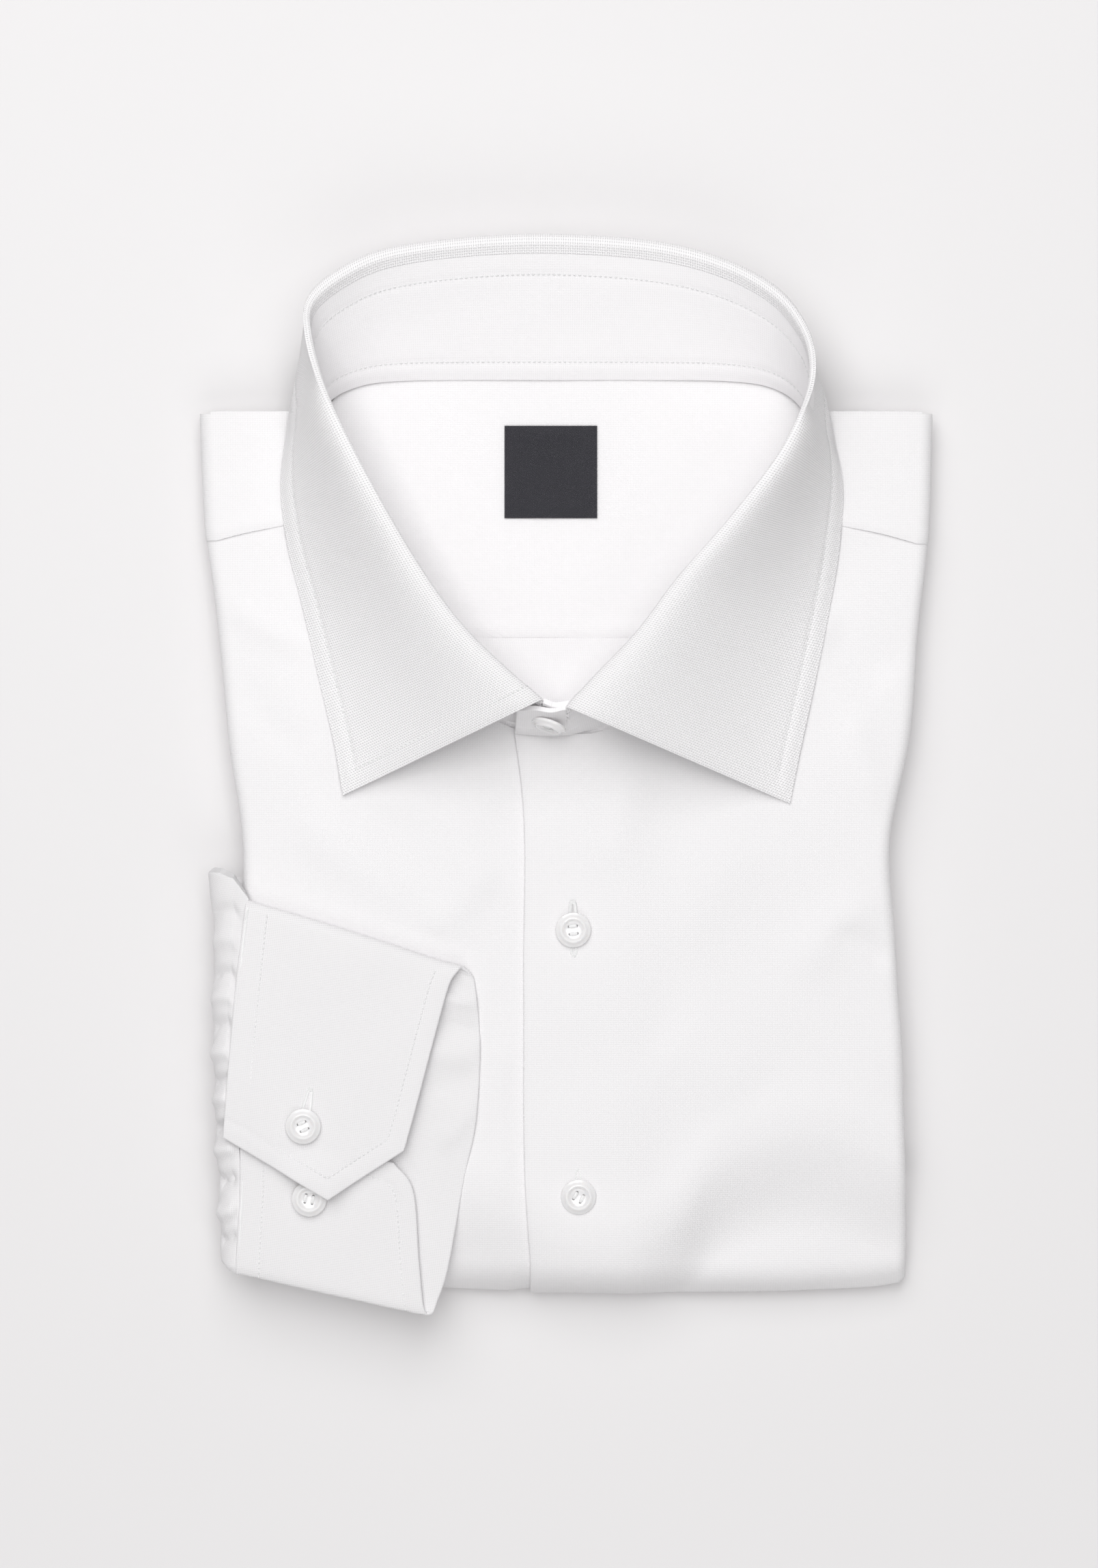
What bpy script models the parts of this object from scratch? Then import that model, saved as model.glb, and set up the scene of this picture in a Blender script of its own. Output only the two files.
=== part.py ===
"""A white cotton dress shirt, folded for a shelf and lying on its back.

Every piece that a maker cuts is a closed wall of cloth. The hidden folds share one solid.
Lengths in the tables are millimetres. X runs across the shirt, Y runs from the hem end to the
collar, Z is up, and the floor is at Z = 0.
"""
import math

import bmesh
import bpy
import numpy as np
from mathutils import Vector

MM = 0.001

# Thicknesses and gaps
CLOTH = 1.2
COLLAR_CLOTH = 1.8
BAND_CLOTH = 1.6
CUFF_CLOTH = 1.6
LABEL_CLOTH = 1.0
GAP = 0.3

# The stack of layers: depths below the upper face of the fronts
FRONT_DEPTH = CLOTH / 2
BACK_DEPTH = CLOTH + GAP + CLOTH / 2
SLAB_TOP = 3.3
SLAB_BOTTOM = 6.9
CURL_RADIUS = 3.6
CURL_REACH = CURL_RADIUS + CLOTH / 2
CURL_TUCK = 7.0
SIDE_DROP = 1.8
HALF_WIDTH = 108.0

# The placket, where the left front lies on the right front
PLACKET_LIFT = CLOTH + GAP
UNDER_PANEL = 31.0
RAMP_START = 33.0
RAMP_END = 41.0

# The fold at the hem end, where the fronts turn under
UNDER_TUCK = 26.0
UNDER_SQUASH = 0.6
HEM_TURN_Y = -158.0
FRONT_ROWS = 15
FRONT_SPANS = 7
HEM_ROWS = 8
RECESS = 3.0
RECESS_Y = -112.0

# The shoulder end and the seams seen in the neck
TOP_FOLD_Y = 117.0
BACK_SEAM_Y = 44.9
BACK_END_Y = -140.0
YOKE_NECK_X = 79.5
MIDDLE_SHIFT = 1.5

# Collar
ROLL_RADIUS = 1.8
ROLL_STUB = 2.6
LEAF_BULGE = 3.2
LEAF_LIFT = 0.9

# Label
LABEL_SIZE = 30.0
LABEL_CENTRE = (-5.0, 97.4)

# Buttons
BUTTON_HOLE_RADIUS = 0.75
BUTTON_HOLE_OFFSET = 1.35
BUTTON_SIDES = 14

BUTTON_PROFILE = ((4.6, 0.0), (5.6, 0.9), (5.5, 1.8), (4.9, 2.4), (4.2, 2.3), (3.5, 1.5))

# Cuff
CUFF_LIFT = 2.6
CUFF_TIP = 17.5
CUFF_TIP_AT = 0.58


def table(names, *rows):
    """Columns of a short table, by name."""
    return {name: np.array(column, float) for name, column in zip(names.split(), zip(*rows))}


# Outline of the folded body: its two long edges
SIDES = table(
    "y left right",
    (-168, -104.5, 109.5),
    (-158, -105.2, 110.6),
    (-136, -105.4, 110.1),
    (-60, -105.3, 107.0),
    (-24, -105.1, 104.8),
    (10, -109.2, 110.9),
    (50, -113.4, 114.9),
    (74, -117.0, 117.6),
    (117, -119.4, 119.4),
)

# Upper face of the fronts along the middle of the shirt
HEIGHTS = table(
    "y z",
    (-168, 20.9),
    (-100, 21.8),
    (0, 20.3),
    (74, 17.0),
    (100, 15.7),
    (125, 15.5),
)

# Hem-end edge of the folded body
HEM_EDGE = table(
    "x y",
    (-120, -157.5),
    (-100, -159.0),
    (-70, -164.5),
    (-35, -167.5),
    (0, -168.2),
    (80, -168.0),
    (104, -166.5),
    (120, -163.0),
)

# Free edge of the placket
PLACKET = table(
    "y x",
    (-170, -10.7),
    (-136, -13.1),
    (-67, -13.8),
    (-3.5, -14.6),
    (14, -17.0),
)

# Shoulder seam, then the neckline of the fronts, from the side to the placket
FRONT_TOP = table(
    "across y",
    (0, 13.0),
    (10, 13.0),
    (24, 18.5),
    (40, 28.0),
    (55, 44.0),
    (68, 64.0),
    (76, 84.0),
    (90, 81.0),
    (104, 78.2),
    (119, 74.0),
)

# Back neckline of the yoke
BACK_NECK = table(
    "across y",
    (0, 125.8),
    (32, 125.9),
    (52, 125.6),
    (66, 123.6),
    (74, 120.0),
    (79.5, 116.4),
)

# Collar, one row for each station from the throat to the middle of the back. For each side it
# gives the fold, the outer edge of the leaf and the neck seam.
COLLAR = table(
    "fold_z l_fold_x l_fold_y r_fold_x r_fold_y l_edge_x l_edge_y r_edge_x r_edge_y "
    "l_seam_x l_seam_y r_seam_x r_seam_y",
    (45.5, -8.2, 22.9, 0.4, 20.6, -72.0, -7.3, 72.1, -9.9, -9.5, 15.2, 1.5, 12.3),
    (46.5, -19.8, 32.8, 10.8, 31.8, -74.8, 9.0, 75.4, 7.0, -25.0, 18.8, 16.0, 17.2),
    (47.0, -32.1, 44.8, 23.1, 45.0, -79.6, 29.0, 80.2, 29.0, -41.0, 29.0, 32.0, 27.5),
    (47.5, -44.4, 61.0, 35.5, 61.4, -84.8, 51.5, 84.9, 52.0, -56.0, 44.5, 48.0, 43.5),
    (48.0, -57.0, 82.0, 52.0, 80.2, -90.2, 73.5, 88.3, 73.0, -69.0, 65.0, 64.5, 63.0),
    (47.5, -69.3, 104.6, 67.7, 100.8, -92.3, 93.0, 89.4, 92.0, -77.5, 85.5, 76.0, 83.5),
    (45.5, -78.1, 123.5, 76.6, 119.4, -90.6, 109.0, 86.8, 106.0, -80.8, 102.0, 79.7, 99.0),
    (43.0, -82.6, 140.2, 78.2, 132.0, -88.0, 122.0, 83.4, 120.5, -80.0, 113.5, 79.3, 110.5),
    (40.0, -81.4, 151.0, 74.6, 143.4, -83.5, 135.0, 77.0, 133.5, -75.6, 120.9, 74.8, 119.4),
    (36.8, -70.4, 160.3, 65.5, 154.2, -70.5, 143.5, 65.0, 141.0, -66.5, 125.2, 66.0, 124.8),
    (34.5, -55.8, 166.4, 49.8, 162.9, -55.0, 145.0, 49.0, 143.0, -54.0, 126.8, 52.0, 126.8),
    (33.0, -31.0, 170.0, 29.0, 168.6, -31.0, 144.5, 29.0, 144.0, -30.0, 127.1, 28.0, 127.1),
    (32.5, -3.0, 171.0, -3.0, 171.0, -3.0, 144.5, -3.0, 144.5, -3.0, 127.1, -3.0, 127.1),
)
COLLAR_ROWS = len(COLLAR["fold_z"])

# Height of the leaf's outer edge behind the shoulders, where it drops to the floor
LEAF_EDGE_HEIGHTS = table(
    "y z",
    (118, 17.4),
    (123, 16.4),
    (131, 11.0),
    (138, 4.5),
    (144, 1.4),
    (150, 1.4),
)

# Height of the neck seam, from the throat to the middle of the back
BAND_FOOT_HEIGHTS = table(
    "y z",
    (100, 17.1),
    (112, 16.8),
    (118, 15.6),
    (124, 14.5),
    (128, 14.3),
)

# Ends of the band past the leaf, at the throat
BAND_ENDS = table(
    "side foot_x foot_y foot_z top_x top_y top_z",
    (0, 8.0, 15.4, 21.7, 7.4, 18.4, 31.5),
    (0, -1.0, 15.3, 21.7, -1.0, 20.6, 37.5),
    (1, -7.0, 12.2, 23.2, -7.0, 17.4, 37.5),
    (1, -15.6, 12.4, 23.2, -14.8, 14.9, 30.0),
)

# Cuff, one row for each section of its flattened loop, from the pointed end round to the
# underlap's end. Heights are above the fronts.
CUFF = table(
    "left_x left_y right_x right_y z",
    (-110.2, -117.0, -52.0, -121.0, 5.9),
    (-109.4, -106.0, -48.4, -108.0, 5.9),
    (-108.2, -91.0, -43.8, -90.5, 5.9),
    (-106.0, -67.0, -40.2, -77.0, 5.6),
    (-103.6, -46.0, -37.4, -67.5, 5.4),
    (-103.0, -42.0, -34.8, -63.6, 4.8),
    (-102.9, -41.0, -33.2, -62.6, 3.3),
    (-103.1, -42.2, -30.6, -64.6, 1.7),
    (-103.6, -46.5, -29.2, -69.0, 1.2),
    (-105.4, -67.0, -27.7, -88.0, 1.2),
    (-106.2, -92.0, -29.0, -112.0, 1.2),
    (-106.4, -117.0, -32.9, -131.0, 1.2),
    (-106.3, -140.0, -38.0, -159.0, 1.2),
    (-106.3, -156.0, -41.4, -169.8, 1.25),
    (-106.4, -159.4, -42.6, -173.2, 1.7),
    (-106.4, -160.5, -43.6, -174.0, 2.4),
    (-106.3, -159.4, -45.2, -173.2, 3.1),
    (-106.2, -156.0, -46.2, -169.0, 3.5),
    (-105.5, -143.0, -47.4, -155.8, 3.6),
    (-105.0, -132.0, -49.2, -134.0, 3.6),
    (-104.8, -124.0, -55.5, -125.0, 3.6),
)

# Sleeve, one row for each section from its hidden end round the shirt's edge to the cuff.
# turn is 0 on the hidden run, 1 where the sleeve stands out furthest, 2 at the cuff.
SLEEVE = table(
    "turn upper_y lower_y",
    (-1.0, -37.0, -142.0),
    (-0.5, -36.5, -142.0),
    (0.0, -36.0, -142.5),
    (0.3, -35.0, -143.0),
    (0.6, -34.0, -144.5),
    (0.8, -33.0, -148.0),
    (1.0, -32.4, -153.0),
    (1.25, -32.0, -157.0),
    (1.5, -32.2, -158.6),
    (1.75, -34.0, -159.0),
    (2.0, -40.5, -159.0),
)
SLEEVE_OUTLINE = table(
    "y x",
    (-165, -111.2),
    (-140, -111.2),
    (-120, -112.4),
    (-100, -112.8),
    (-75, -113.6),
    (-50, -113.0),
    (-40, -114.2),
    (-30, -115.2),
)

# Where the sleeve's two plies end, against the cuff's upper and lower legs
SLEEVE_END = table(
    "y upper_x upper_z lower_x",
    (-165, -106.9, 3.8, -106.9),
    (-127, -106.9, 3.8, -106.9),
    (-118, -111.3, 4.8, -106.9),
    (-91, -108.7, 5.2, -106.8),
    (-67, -106.5, 5.2, -106.0),
    (-46, -104.2, 5.2, -104.3),
    (-30, -104.2, 5.0, -104.3),
)
SLEEVE_PLY = 1.4
SLEEVE_RUN = 16.0
SLEEVE_COLUMNS = 10
SLEEVE_ROOM = 4.2

# Points across the collar
LEAF_COLUMNS = 45
LEAF_SHARES = (0.12, 0.28, 0.46, 0.64, 0.82, 1.0)

# Where the buttons lie; z is the height of the cloth's middle above the fronts
FRONT_BUTTONS = table("x y", (2.2, -50.4), (3.9, -136.2))
CUFF_BUTTONS = table("x y z", (-84.6, -114.6, 6.3), (-82.6, -137.6, 3.6))
COLLAR_BUTTON = (-5.0, 13.4, 30.5)
COLLAR_BUTTON_FACE = (0.0, -0.95, 0.31)


def smooth(chart, key, at, column):
    """Value of a column on the smooth curve through a table's rows."""
    keys = chart[key]
    values = chart[column]
    slopes = np.gradient(values, keys)
    at = min(max(at, keys[0]), keys[-1])
    index = min(max(int(np.searchsorted(keys, at)) - 1, 0), len(keys) - 2)
    step = keys[index + 1] - keys[index]
    t = (at - keys[index]) / step
    start = values[index] * (1 + 2 * t) * (1 - t) ** 2 + slopes[index] * step * t * (1 - t) ** 2
    end = values[index + 1] * (3 - 2 * t) * t * t + slopes[index + 1] * step * t * t * (t - 1)
    return float(start + end)


def straight(chart, key, at, column):
    """Value of a column on the straight lines through a table's rows."""
    return float(np.interp(at, chart[key], chart[column]))


def ease(low, high, at):
    """0 below low, 1 above high, with a soft rise between."""
    t = min(max((at - low) / (high - low), 0.0), 1.0)
    return t * t * (3 - 2 * t)


def unit(vector):
    return vector / np.linalg.norm(vector)


def side_x(side, y):
    """Edge of the folded body; side is -1 for the left and 1 for the right."""
    return smooth(SIDES, "y", y, "right" if side > 0 else "left")


def cloth_top(x, y):
    """Upper face of the fronts where they lie on the folded layers."""
    return smooth(HEIGHTS, "y", y, "z") - SIDE_DROP * (abs(x) / HALF_WIDTH) ** 4


def placket_x(y):
    return smooth(PLACKET, "y", y, "x")


def front_top(x):
    """Top of the fronts: the shoulder seam, and the neckline between the two seams."""
    return smooth(FRONT_TOP, "across", abs(x + MIDDLE_SHIFT), "y")


def hem_edge(x):
    return smooth(HEM_EDGE, "x", x, "y")


def fold_start(x):
    """Where the cloth leaves the flat and turns round the hem end."""
    return hem_edge(x) + cloth_top(x, hem_edge(x)) / 2


def new_object(name, vertices, faces, material, smooth_angle=35):
    mesh = bpy.data.meshes.new(name)
    mesh.from_pydata([tuple(v * MM for v in vertex) for vertex in vertices], [], faces)
    mesh.materials.append(material)
    mesh.shade_smooth()
    mesh.set_sharp_from_angle(angle=math.radians(smooth_angle))
    piece = bpy.data.objects.new(name, mesh)
    bpy.context.scene.collection.objects.link(piece)
    return piece


def material(name, colour, roughness):
    finish = bpy.data.materials.new(name)
    finish.use_nodes = True
    shader = finish.node_tree.nodes["Principled BSDF"]
    shader.inputs["Base Color"].default_value = (*colour, 1)
    shader.inputs["Roughness"].default_value = roughness
    shader.inputs["Metallic"].default_value = 0
    return finish


def cloth_wall(name, grid, thickness, finish, keep=None, closed=False):
    """Closed wall of even thickness on a grid of points of its middle surface.

    keep says which cells are cloth, and closed joins the last column to the first.
    """
    points = np.array(grid, float)
    rows, columns = points.shape[:2]
    cells = []
    for i in range(rows - 1):
        for j in range(columns if closed else columns - 1):
            if keep is None or keep(i, j):
                right = (j + 1) % columns
                cells.append((i * columns + j, (i + 1) * columns + j,
                              (i + 1) * columns + right, i * columns + right))
    flat = points.reshape(-1, 3)
    normals = np.zeros_like(flat)
    edges = set()
    for cell in cells:
        a, b, c, d = flat[list(cell)]
        normal = np.cross(c - a, d - b)
        for corner in cell:
            normals[corner] += normal / (np.linalg.norm(normal) + 1e-9)
        edges.update(zip(cell, cell[1:] + cell[:1]))
    used = sorted({corner for cell in cells for corner in cell})
    place = {corner: index for index, corner in enumerate(used)}
    offsets = np.array([unit(normals[corner]) * thickness / 2 for corner in used])
    vertices = list(flat[used] + offsets) + list(flat[used] - offsets)
    under = len(used)
    faces = [tuple(place[corner] for corner in cell) for cell in cells]
    faces += [tuple(place[corner] + under for corner in reversed(cell)) for cell in cells]
    for start, end in sorted(edges):
        if (end, start) not in edges:
            faces.append((place[end], place[start], place[start] + under, place[end] + under))
    return new_object(name, vertices, faces, finish)


def around_hem(x, y, lift, depth):
    """Point of a layer that runs to the hem end, round it and back under, by its length in Y."""
    start = fold_start(x)
    top = cloth_top(x, max(y, start)) + lift
    if y >= start:
        return x, y, top - depth
    middle = top / 2
    radius = middle - depth
    turn = (start - y) / middle
    if turn <= math.pi:
        return x, start - radius * math.sin(turn), middle + radius * math.cos(turn)
    return x, start + (start - y) - math.pi * middle, depth


def curl_points(steps=5):
    """Outward reach past the rim and added depth of the curl round the shirt's side."""
    turns = [math.pi * step / steps for step in range(1, steps + 1)]
    points = [(CURL_RADIUS * math.sin(turn), CURL_RADIUS * (1 - math.cos(turn))) for turn in turns]
    return points + [(-CURL_TUCK / 2, 2 * CURL_RADIUS), (-CURL_TUCK, 2 * CURL_RADIUS)]


def rim_x(side, y):
    """Where the flat of a layer ends and its side curl starts."""
    return side_x(side, y) - side * CURL_REACH


def front_lanes(side):
    """Lines of points that run down a front: offset from the placket, share of the way from
    there to the rim, reach past the rim and added depth."""
    offsets = (0, 11, 22, RAMP_START, RAMP_END) if side > 0 else (UNDER_PANEL, 20, 9, -1, -8)
    lanes = [(offset, 0.0, 0.0, 0.0) for offset in offsets]
    lanes += [(offsets[-1], share, 0.0, 0.0) for share in np.linspace(0, 1, FRONT_SPANS + 1)[1:]]
    return lanes + [(offsets[-1], 1.0, reach, drop) for reach, drop in curl_points()]


def front_lane(side, lane):
    """Points of one line of a front, from its top, down, round the hem end and back under."""
    offset, share, reach, drop = lane

    def across(y):
        near = placket_x(y) + offset
        return near + (rim_x(side, y) - near) * share

    top = 40.0
    for _ in range(8):
        top = front_top(across(top)) - GAP / 2
    turn_y = fold_start(across(HEM_TURN_Y))
    turned = math.pi * cloth_top(across(HEM_TURN_Y), HEM_TURN_Y) / 2 + UNDER_TUCK
    stations = list(np.linspace(top, turn_y, FRONT_ROWS))
    stations += list(np.linspace(turn_y, turn_y - turned, HEM_ROWS + 1)[1:])
    points = []
    for y in stations:
        flat_x = across(max(y, HEM_TURN_Y))
        past = flat_x - placket_x(max(y, HEM_TURN_Y))
        if side > 0:
            lift = PLACKET_LIFT * (1 - ease(RAMP_START, RAMP_END, past))
            depth = FRONT_DEPTH
        else:
            lift = PLACKET_LIFT * ease(-8, -1, past)
            depth = FRONT_DEPTH + lift
        squash = 1 - (1 - UNDER_SQUASH) * ease(0, turned - UNDER_TUCK, turn_y - y)
        x, y_there, z = around_hem(flat_x, y, lift, depth + drop * squash)
        points.append((x + side * reach, y_there, z))
    return points


def front_panel(name, side, finish):
    """One front, with its placket edge, its side curl and its turn under at the hem end."""
    return cloth_wall(name, [front_lane(side, lane) for lane in front_lanes(side)], CLOTH, finish)


def back_panel(finish):
    """The back, lying under the fronts from the yoke's seam to near the hem end."""
    grid = []
    for share in np.linspace(-1, 1, 11):
        column = []
        for y in np.linspace(BACK_SEAM_Y, BACK_END_Y, 10):
            side = -1 if share < 0 else 1
            x = abs(share) * (rim_x(side, y) - side * CURL_TUCK)
            column.append((x, y, cloth_top(x, y) - BACK_DEPTH))
        grid.append(column)
    return cloth_wall("back", grid, CLOTH, finish)


def yoke_points(x, side, reach, drop):
    """Points of one line of the yoke, from the shoulder seam over the top fold to the back seam.

    Lines across the neck start at the back neckline, so their first points repeat it."""
    small = (BACK_DEPTH - FRONT_DEPTH) / 2
    over_shoulder = abs(x) >= YOKE_NECK_X - 0.01
    widest = abs(rim_x(side, TOP_FOLD_Y)) - YOKE_NECK_X

    def across(y):
        if not over_shoulder:
            return x
        past = (abs(x) - YOKE_NECK_X) / widest * (abs(rim_x(side, y)) - YOKE_NECK_X)
        return side * (YOKE_NECK_X + past)

    seam = 80.0
    for _ in range(8):
        seam = front_top(across(seam)) + GAP
    points = []
    for y in np.linspace(seam, TOP_FOLD_Y - small, 5):
        flat_x = across(y)
        points.append((flat_x + side * reach, y, cloth_top(flat_x, y) - FRONT_DEPTH - drop))
    edge = TOP_FOLD_Y - small if over_shoulder else smooth(BACK_NECK, "across", abs(x), "y")
    top = cloth_top(x, TOP_FOLD_Y)
    for turn in (math.pi / 3, 2 * math.pi / 3, math.pi):
        y = edge + small * math.sin(turn)
        points.append((x, y, top - FRONT_DEPTH - small * (1 - math.cos(turn))))
    for y in np.linspace(edge, BACK_SEAM_Y + GAP, 8)[1:]:
        flat_x = across(y)
        points.append((flat_x, y, cloth_top(flat_x, y) - BACK_DEPTH))
    return points


def yoke(finish):
    """Yoke: two shoulder strips, the top fold and the back yoke whose inside shows in the neck."""
    lines = []
    for side in (-1, 1):
        rim = abs(rim_x(side, TOP_FOLD_Y))
        flat = [(side * x, side, 0.0, 0.0) for x in np.linspace(YOKE_NECK_X, rim, 5)]
        curl = [(side * rim, side, reach, drop) for reach, drop in curl_points()]
        lines.append(flat + curl)
    neck = [(x, 1, 0.0, 0.0) for x in np.linspace(-YOKE_NECK_X, YOKE_NECK_X, 15)[1:-1]]
    ordered = lines[0][::-1] + neck + lines[1]
    curl_lines = len(curl_points())
    first_neck = len(lines[0])
    last = len(ordered) - 1

    def is_cloth(line, row):
        in_curl = line < curl_lines or line >= last - curl_lines
        in_neck = first_neck - 1 <= line < first_neck + len(neck)
        if in_curl:
            return row < 4
        return row >= 7 if in_neck else True

    grid = [yoke_points(*line) for line in ordered]
    return cloth_wall("yoke", grid, CLOTH, finish, keep=is_cloth)


def block_levels():
    """Levels of the folded layers, from the floor up.

    Each is the layer it belongs to, its share of that layer's height, its inset at the long
    sides and its inset at the shoulder end."""
    lip = ((0.0, 2.4, 2.6), (0.1, 1.2, 1.4), (0.25, 0.7, 0.9), (0.4, 1.2, 1.4), (0.47, 3.0, 3.0),
           (0.5, 4.5, 4.0), (0.53, 3.0, 3.0), (0.6, 1.2, 1.2), (0.75, 0.7, 0.8), (0.9, 1.2, 1.2),
           (1.0, 3.0, 2.4))
    groove = ((0.02, None, 5.0), (0.98, None, 5.0))
    slab = ((0.0, 6.6, 2.6), (0.25, 5.3, 1.4), (0.5, 5.0, 1.0), (0.75, 5.3, 1.4), (1.0, 6.6, 2.6))
    levels = [("lip", *row) for row in lip]
    levels += [("groove", *row) for row in groove]
    return levels + [("slab", *row) for row in slab]


def lip_height(side, x, y):
    """Height of the lower folds at a place; the left one leaves room for the sleeve."""
    rim = rim_x(side, y)
    free = cloth_top(rim if abs(x) > abs(rim) - 2 * SLEEVE_RUN else x, y) - 2 * CURL_REACH - 2 * GAP
    if side < 0:
        free -= SLEEVE_ROOM * (1 - ease(-26.0, -14.0, y))
    return free - (free - 2 * RECESS) * (1 - ease(RECESS_Y - 6, RECESS_Y + 14, y))


def level_height(level, side, x, y):
    layer, share = level[:2]
    lip = lip_height(side, x, y)
    top = cloth_top(x, y)
    if layer == "lip":
        return lip * share
    if layer == "groove":
        return lip + (top - SLAB_BOTTOM - lip) * share
    return top - SLAB_BOTTOM + (SLAB_BOTTOM - SLAB_TOP) * share


def level_end(level, index, x):
    """Where a level ends at the hem end, inside the fronts' turn or at the recess under it."""
    if index <= 5:
        return RECESS_Y
    start = fold_start(x)
    middle = cloth_top(x, start) / 2
    height = level_height(level, 1, x, start)
    reach = max((middle - RECESS - GAP) ** 2 - (height - middle) ** 2, 0.0)
    return start - math.sqrt(reach)


def level_inset(level, side, y):
    layer, share, inset, _ = level
    deep = CURL_REACH + CURL_TUCK + 2.0
    if layer == "groove":
        sleeve = (SLEEVE_RUN + 9.0 - deep) * (1 - ease(-26.0, -14.0, y)) if side < 0 else 0.0
        return deep + sleeve
    if layer == "slab":
        return inset + (deep - inset) * (1 - ease(-156.0, -142.0, y))
    return inset + (deep - inset) * (1 - ease(RECESS_Y, RECESS_Y + 12, y))


def folded_layers(finish):
    """One rounded solid for the folds that do not show, layered at its edges."""
    ways = np.linspace(0, 1, 18)
    across = np.linspace(0, 1, 11)
    levels = block_levels()

    def level_point(index, side_share, way):
        level = levels[index]
        ends = []
        for side in (-1, 1):
            hem = level_end(level, index, rim_x(side, HEM_TURN_Y))
            y = TOP_FOLD_Y - level[3] + (hem - TOP_FOLD_Y + level[3]) * way
            ends.append(side_x(side, y) - side * level_inset(level, side, y))
        x = ends[0] + (ends[1] - ends[0]) * side_share
        hem = level_end(level, index, x)
        y = TOP_FOLD_Y - level[3] + (hem - TOP_FOLD_Y + level[3]) * way
        side = -1 if side_share < 0.5 else 1
        height = level_height(level, side, x, y)
        if level[0] != "slab" and 0.0 < side_share < 1.0 and index > 0:
            height = level_height(level, 1, x, y)
        return np.array((x, y, height))

    around = [(0.0, way) for way in ways]
    around += [(share, 1.0) for share in across[1:-1]]
    around += [(1.0, way) for way in ways[::-1]]
    around += [(share, 0.0) for share in across[::-1][1:-1]]
    vertices = [level_point(index, *place) for index in range(len(levels)) for place in around]
    count = len(around)
    faces = [tuple(reversed(range(count)))]
    for index in range(len(levels) - 1):
        for step in range(count):
            a = index * count + step
            b = index * count + (step + 1) % count
            faces.append((a, b, b + count, a + count))
    last = len(levels) - 1
    rim = {place: last * count + step for step, place in enumerate(around)}
    for share in across[1:-1]:
        for way in ways[1:-1]:
            rim[(share, way)] = len(vertices)
            vertices.append(level_point(last, share, way))
    for left, right in zip(across[:-1], across[1:]):
        for low, high in zip(ways[:-1], ways[1:]):
            faces.append((rim[(left, low)], rim[(left, high)], rim[(right, high)], rim[(right, low)]))
    return new_object("folded_layers", vertices, faces, finish)


def collar_stations(left, right):
    """A column of the collar's table, from its left end round the back to its right end."""
    return {"at": np.linspace(0, 1, 2 * COLLAR_ROWS - 1), "value": np.concatenate([left, right[-2::-1]])}


def collar_line(what, at, height):
    """Point of one of the collar's lines; at runs from 0 at the left end to 1 at the right."""
    x, y = (smooth(collar_stations(COLLAR["l_%s_%s" % (what, axis)], COLLAR["r_%s_%s" % (what, axis)]),
                   "at", at, "value") for axis in "xy")
    return np.array((x, y, height(x, y, at)))


def fold_height(x, y, at):
    return smooth(collar_stations(COLLAR["fold_z"], COLLAR["fold_z"]), "at", at, "value")


def edge_height(x, y, at):
    """Height of the leaf's outer edge: on the fronts and shoulders, then down to the floor."""
    resting = cloth_top(x, min(y, 100.0)) + GAP + COLLAR_CLOTH / 2 + LEAF_LIFT
    behind = straight(LEAF_EDGE_HEIGHTS, "y", y, "z")
    return resting + (behind - resting) * ease(104.0, 118.0, y)


def foot_height(x, y, at):
    """Height of the band's lower edge: on the fronts' neckline, then behind the yoke's."""
    lift = PLACKET_LIFT * (1 - ease(24.0, 40.0, x)) if at > 0.5 else 0.0
    on_front = cloth_top(x, y) + lift + GAP + BAND_CLOTH / 2
    behind = straight(BAND_FOOT_HEIGHTS, "y", y, "z")
    return on_front + (behind - on_front) * ease(88.0, 104.0, y)


def collar_section(at):
    """Fold, directions and roll of the collar at one station."""
    fold = collar_line("fold", at, fold_height)
    edge = collar_line("edge", at, edge_height)
    foot = collar_line("seam", at, foot_height)
    to_edge = unit(edge - fold)
    to_foot = unit(foot - fold)
    inward = unit(to_edge + to_foot)
    centre = fold + inward * ROLL_RADIUS
    across = unit(to_edge - to_foot)
    stub_top = centre - across * ROLL_RADIUS
    seam = stub_top + unit(foot - stub_top) * ROLL_STUB
    return {"edge": edge, "foot": foot, "inward": inward, "across": across, "centre": centre,
            "seam": seam, "stub_top": stub_top}


def collar_leaf(finish):
    """Collar leaf: a short stub above the band, the roll of the fold and the fall."""
    grid = []
    for at in np.linspace(0, 1, LEAF_COLUMNS):
        part = collar_section(at)
        points = [part["seam"] + unit(part["stub_top"] - part["seam"]) * GAP]
        for turn in np.linspace(-math.pi / 2, math.pi / 2, 6):
            points.append(part["centre"] + ROLL_RADIUS
                          * (math.sin(turn) * part["across"] - math.cos(turn) * part["inward"]))
        start = points[-1]
        fall = part["edge"] - start
        out = unit(part["across"] - unit(fall) * np.dot(part["across"], unit(fall)))
        for share in LEAF_SHARES:
            bulge = LEAF_BULGE * (share * (1 - share) * 4) ** 0.8
            points.append(start + fall * share + out * bulge)
        grid.append(points)
    return cloth_wall("collar_leaf", grid, COLLAR_CLOTH, finish)


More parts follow.
